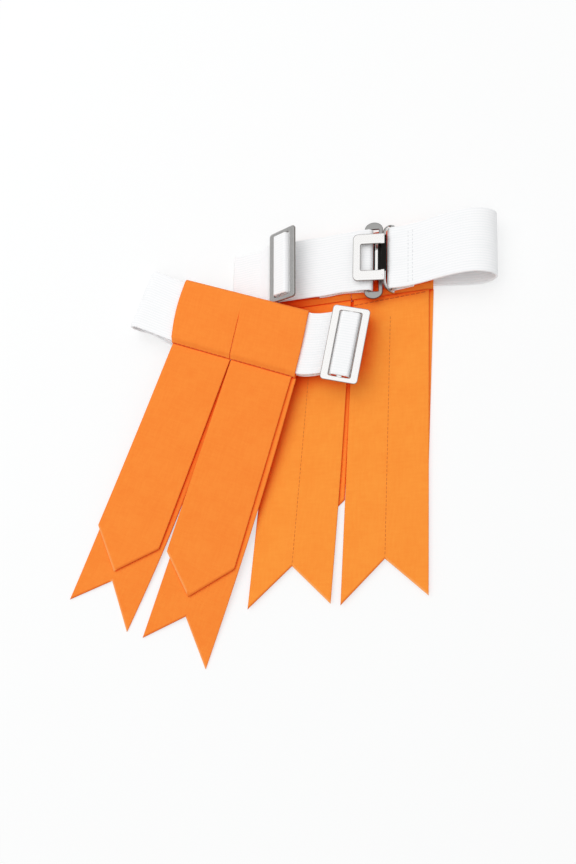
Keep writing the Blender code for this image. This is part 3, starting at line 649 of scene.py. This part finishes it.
for flash, place, clasp_at, turn, lift in (
    ("rear", on_rear, REAR_CLASP, 0.0, REAR_HOOK_LIFT),
    ("front", on_front, FRONT_CLASP, 180.0, 0.0),
):
    points = place(tilt(eye[0], turn, clasp_at))
    eye_plate = make_piece(flash + "_eye_plate", points, eye[1], grey_shaded_nickel, wall=eye[2])
    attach(eye_plate, flash + "_flash")
    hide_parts(flash + "_eye")
    for part, points, faces, metal in (
        ("_eye_keeper", keeper_points, keeper_faces, painted_shadow_steel),
        ("_eye_keeper_lip", lip_points, lip_faces, bright_nickel),
    ):
        points = place(tilt(points, turn, clasp_at))
        keeper = make_piece(flash + part, points, faces, metal)
        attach(keeper, flash + "_flash")
        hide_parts(flash + "_eye")
    points = place(tilt(tilt(hook[0], lift, HOOK_AT), turn, clasp_at))
    hook_plate = make_piece(flash + "_hook_plate", points, hook[1], bright_nickel, wall=hook[2])
    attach(hook_plate, flash + "_hook")
    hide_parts(flash + "_hook")
    points = place(tilt(tilt(leaf_points, lift, HOOK_AT), turn, clasp_at))
    leaf = make_piece(flash + "_hook_painted_shadow_leaf", points, leaf_faces, painted_shadow_steel)
    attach(leaf, flash + "_hook")


# Sliders

# The length is set by a tri-glide: a pressed, nickel-plated frame with a centre bar. The elastic
# comes up through one window, turns over the bar and goes down through the other.

SLIDER_WIDTH, SLIDER_SIDE, SLIDER_END, SLIDER_BAR = 14.2, 2.9, 1.9, 2.2
SLIDER_CORNER, SLIDER_WINDOW_CORNER = 1.4, 0.5
BAR_THICKNESS, BAR_ROUND, BAR_END_ROUND, BAR_TENONS, BAR_STEPS = 0.9, 0.45, 0.3, 1.0, (0.6, 2.0)
TURN_REACH, TURN_RISE = 5.3, 1.4
TURN_FOOT, TURN_SHOULDER = 4.0, 2.7
TURN_STEP, TURN_BEND_STEP, TURN_TOP_STEP = 0.5, 0.2, 0.4
REAR_SLIDER_AT, REAR_SLIDER_TILT, REAR_SLIDER_YAW = (-25.1, -2.5156, 9.5314), -33.0, 1.5
FRONT_SLIDER_AT, FRONT_SLIDER_TILT, FRONT_SLIDER_YAW = (43.7, -0.6, 11.9436), 6.0, 1.5

half_width, half_length = SLIDER_WIDTH / 2, SLOT_LENGTH / 2 + SLIDER_END
side = half_width - SLIDER_SIDE
slider_frame = pressed_link(
    cornered_loop(-half_width, half_width, -half_length, half_length, SLIDER_CORNER, SLIDER_CORNER),
    cornered_loop(-side, side, -half_slot, half_slot, SLIDER_WINDOW_CORNER, SLIDER_WINDOW_CORNER),
)
bar_length = SLOT_LENGTH + BAR_TENONS
bar_points, bar_faces = steel_leaf(
    -SLIDER_BAR / 2, SLIDER_BAR / 2, bar_length, BAR_THICKNESS, BAR_ROUND, BAR_END_ROUND, BAR_STEPS
)
slider_plate = together(slider_frame, (bar_points, bar_faces, np.zeros(len(bar_points))))

# The turn stands up close to the side bars and lies flat over the centre bar.
stations = trace(
    (-TURN_REACH, 0, -TURN_RISE),
    (straight, (-TURN_FOOT, 0, -TURN_RISE), TURN_STEP),
    (ease, (-TURN_SHOULDER, 0, TURN_RISE), TURN_BEND_STEP),
    (straight, (TURN_SHOULDER, 0, TURN_RISE), TURN_TOP_STEP),
    (ease, (TURN_FOOT, 0, -TURN_RISE), TURN_BEND_STEP),
    (straight, (TURN_REACH, 0, -TURN_RISE), TURN_STEP),
)
turn_points, turn_faces, turn_weave, turn_length = elastic_band(stations)


def slider_place(points, degrees, yaw, place):
    """Points tilted about y, turned about z, then moved."""
    c, s = np.cos(np.radians(yaw)), np.sin(np.radians(yaw))
    return tilt(points, degrees) @ np.array([[c, s, 0], [-s, c, 0], [0, 0, 1]]) + np.array(place)


# The rear slider's plate takes the dimmer copy of the nickel: painted shade.
for flash, place, slider_at, slope, yaw, plate_metal in (
    ("rear", on_rear, REAR_SLIDER_AT, REAR_SLIDER_TILT, REAR_SLIDER_YAW, dimmer_shaded_nickel),
    ("front", on_front, FRONT_SLIDER_AT, FRONT_SLIDER_TILT, FRONT_SLIDER_YAW, bright_nickel),
):
    body = flash + "_slider"
    points = place(slider_place(slider_plate[0], slope, yaw, slider_at))
    plate = make_piece(body + "_plate", points, slider_plate[1], plate_metal, wall=slider_plate[2])
    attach(plate, body)
    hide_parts(body)
    points = place(slider_place(turn_points, slope, yaw, slider_at))
    turn = make_piece(body + "_turn_elastic", points, turn_faces, elastic, turn_weave)
    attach(turn, body)
    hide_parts(body + "_turn")


# Cloth sleeves

# Each column is a strip of orange poplin, sewn to a flat tube and pressed. Its middle is folded
# over the elastic and both layers are stitched together under it, which makes a sleeve.

CLOTH = 0.7
CLOTH_STEP = 1.0
SLEEVE_HALF, SLEEVE_HEIGHT = 13.25, 3.0
SLEEVE_DROP, SLEEVE_DROP_STEP, SLEEVE_EDGE = 2.6, 0.3, 0.25
REAR_RIBBON, FRONT_RIBBON = 31.2, 26.3
COLUMN_GAP, REAR_COLUMN_SHIFT = 0.6, 1.4
REAR_SPLIT, FRONT_SPLIT = (0.25, -0.25), (-0.6, -1.1)
REAR_MEET, FRONT_MEET = 0.3, 0.5
MEET_START, MEET_FADE = 1.15, 3.0
FRONT_BASE, FRONT_CROWN, FRONT_RISE = 7.2, 0.3, 0.3
FRONT_BULGE = (1.1, 0.3)
THREAD_DRAWN, SLUB_LENGTH, DYE_CLOUD, CREASE_REACH = 0.8, 5.0, 14.0, 11.0
FRONT_ORANGE = ("#fa8733", "#fd9039")
REAR_ORANGE = ("#fc9236", "#ff9b3c")
CREASE_SHADE_RED = "#ff4205"
# Painted highlight on cut edges that face left, and painted shade on those that face right.
CUT_PAINTED_HIGHLIGHT, CUT_PAINTED_SHADE = "#ffb676", "#d65518"


def poplin(name, deep, light):
    """Poplin, plain woven of polyester and cotton: a smooth matt cloth with faint slubs along its
    threads. Painted shade makes it redder in creases, where orange would light orange, and a painted
    highlight and painted shade make its cut edges paler where they face left and darker where they
    face right. The threads are 0.3 mm apart; they are drawn at 0.8 mm, and the slubs 5 mm long, so
    that they show in the picture."""
    material, tree, shader = new_material(name)
    node(tree, shader, {"Roughness": 0.88, "Specular IOR Level": 0.12})
    node(tree, shader, {"Sheen Weight": 0.06, "Sheen Roughness": 0.4})
    uv = node(tree, "UVMap", uv_map="weave")
    apart = node(tree, "SeparateXYZ", {"Vector": uv.outputs["UV"]})
    turns = 2 * np.pi / (THREAD_DRAWN * MM)
    fine, long = 1 / (THREAD_DRAWN * MM), 1 / (SLUB_LENGTH * MM)
    ways = [node(tree, "Math", {0: apart.outputs[way], 1: turns}, operation="MULTIPLY") for way in "YX"]
    warp, weft = (node(tree, "Math", {0: way}, operation="SINE") for way in ways)
    weave = node(tree, "Math", {0: warp, 1: weft}, operation="MULTIPLY")
    ways = [
        node(tree, "Mapping", {"Vector": uv.outputs["UV"], "Scale": scale})
        for scale in ((long, fine, 1), (fine, long, 1))
    ]
    slubs = [node(tree, "TexNoise", {"Vector": way, "Scale": 1.0, "Detail": 2.0}) for way in ways]
    slub = node(tree, "Math", {0: slubs[0], 1: slubs[1]}, operation="ADD")
    cloud = node(
        tree,
        "TexNoise",
        {"Vector": uv.outputs["UV"], "Scale": 1 / (DYE_CLOUD * MM), "Detail": 2.0},
    )
    tone = node(tree, "Math", {0: slub, 1: cloud}, operation="ADD")
    tone = node(tree, "MapRange", {"Value": tone, "From Min": 1.15, "From Max": 1.85})
    tone = node(tree, "Math", {0: weave, 1: 0.12, 2: tone}, operation="MULTIPLY_ADD", use_clamp=True)
    dyed = node(tree, "Mix", {0: tone, 6: linear(deep), 7: linear(light)}, data_type="RGBA")
    # Painted shade: where ambient occlusion finds the cloth hemmed in, its colour is mixed towards a deep
    # red.
    open_sky = node(tree, "AmbientOcclusion", {"Distance": CREASE_REACH * MM}, samples=8)
    crease_shade = node(
        tree,
        "MapRange",
        {"Value": open_sky.outputs["AO"], "From Min": 0.3, "From Max": 0.85, "To Min": 1.0, "To Max": 0.0},
    )
    colour = node(tree, "Mix", {0: crease_shade, 6: dyed.outputs[2], 7: linear(CREASE_SHADE_RED)}, data_type="RGBA")
    # Painted highlight and painted shade on the cut edges, by the sign of the cut mark.
    cut = node(tree, "Attribute", attribute_name="cut")
    for way, cut_light_colour in ((1.0, CUT_PAINTED_HIGHLIGHT), (-1.0, CUT_PAINTED_SHADE)):
        amount = node(tree, "Math", {0: cut.outputs["Fac"], 1: way}, operation="MULTIPLY", use_clamp=True)
        colour = node(
            tree,
            "Mix",
            {0: amount, 6: colour.outputs[2], 7: linear(cut_light_colour)},
            data_type="RGBA",
        )
    height = node(tree, "Math", {0: weave, 1: 0.5, 2: slub}, operation="MULTIPLY_ADD")
    bump = node(tree, "Bump", {"Height": height, "Strength": 0.3, "Distance": 0.05 * MM})
    node(tree, shader, {"Base Color": colour.outputs[2], "Normal": bump})
    return material


front_poplin = poplin("front_orange_poplin", *FRONT_ORANGE)
rear_poplin = poplin("rear_orange_poplin", *REAR_ORANGE)
FLASHES = {"rear": (on_rear, rear_line, rear_poplin), "front": (on_front, front_line, front_poplin)}


def sleeve_cloth(x0, x1, line, base, crown, bulge, meet, rise):
    """The fold over the elastic. Its section runs under the elastic from the stitched edge, round
    a half circle at the fold, back over the top and down by 3t^2 - 2t^3 to the stitched edge. It
    is carried along the elastic; crown lifts the top by a sine, bulge moves each end outward by a
    sine between the fold and the stitched edge, meet moves it outward near the fold, and rise moves
    the fold itself away from the stitched edge."""
    radius = (SLEEVE_HEIGHT - CLOTH) / 2
    fold = SLEEVE_HALF - CLOTH / 2 - radius
    low, high = base + CLOTH / 2, base + SLEEVE_HEIGHT - CLOTH / 2
    angle = np.linspace(-np.pi / 2, np.pi / 2, 13)[1:]
    turn = np.stack([fold + radius * np.cos(angle), 0 * angle, low + radius * (1 + np.sin(angle))], -1)
    section = trace(
        (-SLEEVE_HALF, 0, low),
        (straight, (fold, 0, low)),
        turn,
        (straight, (-SLEEVE_HALF + SLEEVE_DROP, 0, high)),
        (ease, (-SLEEVE_HALF, 0, base + CLOTH_STEP + CLOTH / 2), SLEEVE_DROP_STEP),
    )
    run = run_along(section)
    ends = edge_steps(SLEEVE_EDGE)
    closer = np.unique(np.concatenate([run, ends, run[-1] - ends]))
    offset, z = (np.interp(closer, run, section[:, axis])[:, None] for axis in (0, 2))
    share = np.clip((SLEEVE_HALF - offset) / (2 * SLEEVE_HALF), 0, 1)
    place = places(x1 - x0, CLOTH / 2, CLOTH / 2, step=0.9)
    u = place / (x1 - x0)
    swelling, near_fold = np.sin(np.pi * share), np.clip(MEET_START - MEET_FADE * share, 0, 1)
    outward = [swelling * bulge[end] + near_fold * meet[end] for end in (0, 1)]
    x = x0 + place + outward[1] * u**4 - outward[0] * (1 - u) ** 4
    on_top = np.clip((z - low) / (high - low), 0, 1)
    lift = crown * on_top * swelling * np.sin(np.pi * u) ** 0.5
    y = line(x) + offset + rise * np.clip(1 - MEET_FADE * share, 0, 1)
    middle = np.stack(np.broadcast_arrays(x, y, z + lift), -1)
    half = CLOTH / 2 * fullness(place, x1 - x0, CLOTH / 2, CLOTH / 2)
    half = half * fullness(closer, run[-1], SLEEVE_EDGE, SLEEVE_EDGE)[:, None]
    points, faces, source = two_faces(middle, half)
    weave = np.stack(np.broadcast_arrays(closer[:, None], place), -1).reshape(-1, 2)
    return points, faces, MM * weave[source], run[-1]


near = COLUMN_GAP / 2
rear_far, front_far = near + REAR_RIBBON, near + FRONT_RIBBON
REAR_SPANS = np.add([(-rear_far, -near), (near, rear_far)], REAR_COLUMN_SHIFT)
FRONT_SPANS = np.array([(-front_far, -near), (near, front_far)])
for flash, side, span, bulge, meet in (
    ("rear", "left", REAR_SPANS[0] + (0, REAR_SPLIT[0]), (0, 0), (0, REAR_MEET)),
    ("rear", "right", REAR_SPANS[1] + (REAR_SPLIT[1], 0), (0, 0), (REAR_MEET, 0)),
    ("front", "left", FRONT_SPANS[0] + (0, FRONT_SPLIT[0]), (FRONT_BULGE[0], 0), (0, FRONT_MEET)),
    ("front", "right", FRONT_SPANS[1] + (FRONT_SPLIT[1], 0), (0, FRONT_BULGE[1]), (FRONT_MEET, 0)),
):
    place, line, cloth = FLASHES[flash]
    base, crown, rise = (0, 0, 0) if flash == "rear" else (FRONT_BASE, FRONT_CROWN, FRONT_RISE)
    name = flash + "_sleeve_" + side
    points, faces, weave, girth = sleeve_cloth(*span, line, base, crown, bulge, meet, rise)
    sleeve = make_piece(name + "_cloth", place(points), faces, cloth, weave)
    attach(sleeve, flash + "_flash")
    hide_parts(name)


# Points and tails

# Below the stitching the strip's two ends hang one on the other. The shorter end is cut to a point
# and the longer end to a swallow tail; the cut ends are sealed, and the sides are pressed folds.

TAIL_NOTCH, POINT_TIP = 15.1, 15.0
REAR_TOP_INSET, FRONT_TOP_INSET = 2.2, 0.7
REAR_SEAM_GAP, FRONT_SEAM_GAP = 0.5, 1.3
DROOP_RUN, FRONT_DROOP = 116.5, {"left": 1.5, "right": 1.1}
TOP_ROUND, CUT_ROUND, CUT_BAND = 0.3, 0.18, 0.5
BEND_RUN = 7.0


def ribbon_cloth(span, line, gap, lean, length, skew, flare, swell, cut, level):
    """A hanging end. At u across and w down, it reaches w(length + cut(1 - |2u - 1|) + skew(u -
    1/2)) from the seam along its lean, flares by a share of w and swells on its +x side by a sine
    of w; its height is level(reach). It starts at the sleeve's edge, a gap above the seam."""
    x0, x1 = span
    place = places(x1 - x0, CLOTH / 2, CLOTH / 2, step=1.0)
    u = place / (x1 - x0)
    full = length + cut * (1 - np.abs(2 * u - 1)) + skew * (u - 0.5)
    down = places(length, TOP_ROUND, CUT_ROUND, step=1.2)[:, None]
    w = down / length
    reach = -gap + w * (full + gap)
    lean = np.radians(lean)
    x = x0 + place
    y = line(x) - SLEEVE_HALF - gap - np.cos(lean) * reach
    x = x + (u - 0.5) * flare * w + u**2 * swell * np.sin(np.pi * w) + np.sin(lean) * reach
    middle = np.stack(np.broadcast_arrays(x, y, level(reach) + CLOTH / 2), -1)
    half = CLOTH / 2 * fullness(place, x1 - x0, CLOTH / 2, CLOTH / 2)
    half = half * fullness(down, length, TOP_ROUND, CUT_ROUND)
    points, faces, source = two_faces(middle, half)
    weave = np.stack(np.broadcast_arrays(reach, place), -1).reshape(-1, 2)
    # The cut mark: +1 is a painted highlight on cut edges that face left, -1 a painted shade on those that
    # face right.
    lit = np.where((u < 0.5) == (cut > 0), 1.0, -1.0)
    edge = (lit * np.clip(1 - (full - reach) / CUT_BAND, 0, 1)).reshape(-1)
    return points, faces, MM * weave[source], edge[source]


def rear_level(layer):
    """The rear ends lie flat on the table, or one layer of cloth over it."""
    return lambda reach: layer * CLOTH_STEP + 0 * reach


def front_level(droop, layer):
    """The front ends fall from the sleeve to the table: base(1 - reach/run)^droop."""
    return lambda reach: (
        FRONT_BASE * np.clip(1 - np.maximum(reach, 0) / DROOP_RUN, 0, 1) ** droop
        + layer * CLOTH_STEP
    )


# Each end's shift along the seam, lean, length, extra length on its +x side, flare and swell.
ENDS = {
    "rear_left_tail": (1.25, -3.8, 117.0, -0.9, 3.0, 0.5),
    "rear_left_point": (3.0, -3.0, 78.0, 0.0, 1.5, 0.0),
    "rear_right_tail": (-0.55, -1.0, 115.65, -2.3, 3.0, 0.0),
    "rear_right_point": (1.2, -2.3, 80.0, 0.0, 1.5, 0.0),
    "front_left_tail": (-0.15, -10.25, 112.95, 3.5, 2.9, 2.2),
    "front_left_point": (-0.17, -10.5, 78.8, 0.9, 2.9, 0.0),
    "front_right_tail": (0.62, -6.3, 114.8, 2.05, 2.9, 1.0),
    "front_right_point": (-1.05, -6.0, 76.95, -2.3, 2.9, 0.0),
}
SEAMS = {
    "rear": (REAR_SPANS, REAR_SEAM_GAP, REAR_TOP_INSET),
    "front": (FRONT_SPANS, FRONT_SEAM_GAP, FRONT_TOP_INSET),
}
for name, (shift, lean, length, skew, flare, swell) in ENDS.items():
    flash, side, end = name.split("_")
    rear = flash == "rear"
    place, line, cloth = FLASHES[flash]
    spans, gap, inset = SEAMS[flash]
    upper = (end == "tail") == rear
    level = rear_level(upper) if rear else front_level(FRONT_DROOP[side], upper)
    cut = -TAIL_NOTCH if end == "tail" else POINT_TIP
    top = spans[("left", "right").index(side)] + shift + np.array([inset, -inset]) / 2
    points, faces, weave, edge = ribbon_cloth(top, line, gap, lean, length, skew, flare, swell, cut, level)
    ribbon = make_piece(name + "_cloth", place(points), faces, cloth, weave, cut=edge)
    middle = top.mean()
    seam_y = line(middle) - SLEEVE_HALF - gap
    start, stop = place([(middle, seam_y + gap, 0), (middle, seam_y - BEND_RUN, 0)])
    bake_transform(ribbon)
    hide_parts(name)


# Stitching

# Orange thread, lock-stitched: one row joins each column's layers under the elastic, and one row
# closes the tube down the back of each strip. White thread holds the elastic's end at the hook.

# The seam thread is darker and redder than the orange thread itself: painted shade of the seam's crease.
SEAM_THREAD_SHADED = "#dd5c18"
TUBE_THREAD = "#dc782b"
WHITE_THREAD = "#f3f5f6"
SEAM_IN, SEAM_STOPS, THREAD_PROUD = 0.25, (0.5, -0.6), 0.05
REAR_SEAM_START, REAR_SEAM_STOP = (2.4, -17.9), (30.6, -13.6)
TUBE_ROW_TOP, TUBE_ROW_STOP = 8.0, 1.0
END_ROWS, END_ROW_HALF = (23.6, 25.3), 11.0
SEAM_STITCH, TUBE_STITCH, END_STITCH = (2.0, 1.5, 0.16), (1.6, 1.05, 0.1), (1.6, 1.1, 0.13)
PLY_PITCH, PLY_SHADE = 0.5, (0.7, 0.7, 0.7, 1)


def thread_row(start, end, pitch, dash, radius):
    """A row of stitches, a pitch apart from start to end. Each is a cushion on a 5 by 5 grid, dash
    long and two radii wide: with a and b from -pi/2 to pi/2, it lies at sin a along and sin b
    across, and its half thickness is radius cos a cos b."""
    start, end = np.array(start, float), np.array(end, float)
    length = np.linalg.norm(end - start)
    along = (end - start) / length
    across = np.cross((0, 0, 1), along)
    angle = np.linspace(-np.pi / 2, np.pi / 2, 5)
    reach, rise = np.sin(angle)[:, None], np.cos(angle)
    middle = dash / 2 * reach[:, None] * along + radius * reach * across
    one, faces, _ = two_faces(middle, radius * rise[:, None] * rise)
    at = start + along * ((np.arange(int(length / pitch)) + 0.5) * pitch)[:, None]
    starts = len(one) * np.arange(len(at))[:, None, None]
    return (at[:, None] + one).reshape(-1, 3), (starts + faces).reshape(-1, 4)


def thread(name, hex_colour):
    """Spun polyester thread: matt, with the twist of its plies every 0.5 mm as fine light and dark
    along each stitch."""
    material, tree, shader = new_material(name)
    place = node(tree, "TexCoord")
    ply = node(
        tree,
        "TexNoise",
        {"Vector": place.outputs["Object"], "Scale": 1 / (PLY_PITCH * MM), "Detail": 1.0},
    )
    tint = np.array(linear(hex_colour))
    tone = node(tree, "Mix", {0: ply, 6: tuple(tint * PLY_SHADE), 7: tuple(tint)}, data_type="RGBA")
    node(tree, shader, {"Base Color": tone.outputs[2], "Roughness": 0.7})
    return material


seam_thread = thread("spun_polyester_thread_seam", SEAM_THREAD_SHADED)
tube_thread = thread("spun_polyester_thread_tube", TUBE_THREAD)
white_thread = thread("spun_polyester_thread_white", WHITE_THREAD)


def add_stitches(name, body, slot, material, place, *rows):
    """Stitch rows as one piece, riding on a body."""
    points, faces = together(*(thread_row(*row) for row in rows))
    piece = make_piece(name, place(points), faces, material)
    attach(piece, body)


# The front row lies in the sleeve's fall to the stitched edge.
fall = 1 - SEAM_IN / SLEEVE_DROP
fall = fall * fall * (3 - 2 * fall) * (SLEEVE_HEIGHT - CLOTH_STEP - CLOTH)
level = FRONT_BASE + SLEEVE_HEIGHT - fall + THREAD_PROUD
rows = [
    [(x, front_line(x) - SLEEVE_HALF + SEAM_IN, level) for x in span + SEAM_STOPS]
    for span in FRONT_SPANS
]
rows = [(*row, *SEAM_STITCH) for row in rows]
add_stitches("front_seam_stitches", "front_flash", "orange_cloth", seam_thread, on_front, *rows)

# The rear row shows on the back of the tails, just under the sleeve's edge.
level = CLOTH_STEP + CLOTH
row = ((*REAR_SEAM_START, level), (*REAR_SEAM_STOP, level), *SEAM_STITCH)
add_stitches("rear_seam_stitches", "rear_flash", "orange_cloth", seam_thread, on_rear, row)

for side, span in zip(("left", "right"), REAR_SPANS):
    body = "rear_" + side + "_tail"
    shift, lean, length = ENDS[body][:3]
    middle = np.mean(span) + shift
    lean = np.radians(lean)
    seam_y = rear_line(middle) - SLEEVE_HALF - REAR_SEAM_GAP
    row = [
        (middle + np.sin(lean) * reach, seam_y - np.cos(lean) * reach, level)
        for reach in (TUBE_ROW_TOP, length - TAIL_NOTCH - TUBE_ROW_STOP)
    ]
    row += TUBE_STITCH
    add_stitches(body + "_centre_stitches", body, "orange_cloth", tube_thread, on_rear, row)

rows = []
for x in END_ROWS:
    y, z = (np.interp(x, sewn_over[:, 0], sewn_over[:, axis]) for axis in (1, 2))
    z += ELASTIC_THICKNESS / 2 - RIB_DEPTH
    rows += [((x, y - END_ROW_HALF, z), (x, y + END_ROW_HALF, z), *END_STITCH)]
add_stitches("rear_strap_end_stitches", "rear_flash", "white_elastic", white_thread, on_rear, *rows)


# Table, light and camera

# The pair lies on a plain white table under a broad soft lamp from the upper left, in a pale room
# whose walls are dimmer than its ceiling. The camera stands above and to the right, close in.

TABLE_WHITE, TABLE_GREY = "#fbfcfc", "#fafbfb"
TABLE_GRAIN = 40.0
TABLE_REACH, TABLE_DROP = 20.0, 1e-4
SHADOW_FILL = 0.6
WALL_TOP, WALL_LIGHT, CEILING_LIGHT = 0.3, 0.4, 1.0
LAMP_AT, LAMP_SIZE, LAMP_POWER = (-0.30, 0.25, 0.81), 0.9, 3.05
CAMERA_FROM_REAR = (31.16, -102.63, 247.21)
CAMERA_RIGHT = (0.97515, 0.0, -0.22155)
CAMERA_UP = (0.03083, 0.99027, 0.13571)
CAMERA_BACK = (0.21940, -0.13917, 0.96566)
LENS, SENSOR, NEAREST = 27.08, 36.0, 0.01

# Painted board: matt white without a shine. A share of what the camera sees is plain white, which
# fills the shadows as in the photo; the rest is the board's own shading.
table_white, tree, shader = new_material("matt_white_table_board")
place = node(tree, "TexCoord")
grain = node(tree, "TexNoise", {"Vector": place.outputs["Object"], "Scale": 1 / (TABLE_GRAIN * MM)})
tone = node(tree, "Mix", {0: grain, 6: linear(TABLE_GREY), 7: linear(TABLE_WHITE)}, data_type="RGBA")
node(tree, shader, {"Base Color": tone.outputs[2], "Roughness": 0.9, "Specular IOR Level": 0.0})
seen = node(tree, "LightPath")
straight_on = seen.outputs["Is Camera Ray"]
for ray in ("Is Glossy Ray", "Is Transmission Ray"):
    straight_on = node(tree, "Math", {0: straight_on, 1: seen.outputs[ray]}, operation="MAXIMUM")
share = node(tree, "Math", {0: straight_on, 1: SHADOW_FILL}, operation="MULTIPLY")
white = node(tree, "Emission", {"Strength": 1.0})
mixed = node(tree, "MixShader", {0: share, 1: shader, 2: white})
node(tree, tree.nodes["Material Output"], {"Surface": mixed})
corners = TABLE_REACH * np.array([(-1, -1, 0), (1, -1, 0), (1, 1, 0), (-1, 1, 0)])
corners = corners - (0, 0, TABLE_DROP)
table = make_piece("white_table", corners, np.array([[0, 1, 2, 3]]), table_white)

world = bpy.data.worlds.new("pale_room")
bpy.context.scene.world = world
world.use_nodes = True
tree = world.node_tree
direction = node(tree, "TexCoord")
apart = node(tree, "SeparateXYZ", {"Vector": direction.outputs["Generated"]})
height = node(
    tree,
    "MapRange",
    {
        "Value": apart.outputs["Z"],
        "From Min": WALL_TOP,
        "From Max": 1.0,
        "To Min": WALL_LIGHT,
        "To Max": CEILING_LIGHT,
    },
    interpolation_type="SMOOTHSTEP",
)
node(tree, tree.nodes["Background"], {"Color": (1.0, 1.0, 1.0, 1.0), "Strength": height})


def stand(name, data, right, up, back, at):
    """Puts a lamp or a camera in the scene, at a place and with its own axes."""
    axes = np.eye(4)
    axes[:3] = np.stack([right, up, back, at], -1)
    standing = bpy.data.objects.new(name, data)
    standing.matrix_world = Matrix(axes.tolist())
    bpy.context.scene.collection.objects.link(standing)
    return standing


# The metal mirrors the room and not the lamp, so that the bright plates don't clip to white.
lamp = bpy.data.lights.new("soft_lamp", "AREA")
lamp.shape = "SQUARE"
lamp.size = LAMP_SIZE
lamp.energy = LAMP_POWER
back = np.array(LAMP_AT) / np.linalg.norm(LAMP_AT)
right = np.cross((0, 0, 1), back)
right /= np.linalg.norm(right)
lamp_object = stand("soft_lamp", lamp, right, np.cross(back, right), back, LAMP_AT)
lamp_object.visible_glossy = False

camera = bpy.data.cameras.new("camera")
camera.lens = LENS
camera.sensor_width = SENSOR
camera.clip_start = NEAREST
camera_at = on_rear((0.0, 0.0, 0.0)) + MM * np.array(CAMERA_FROM_REAR)
camera_object = stand("camera", camera, CAMERA_RIGHT, CAMERA_UP, CAMERA_BACK, camera_at)
bpy.context.scene.camera = camera_object
bpy.context.scene.view_settings.view_transform = "Standard"
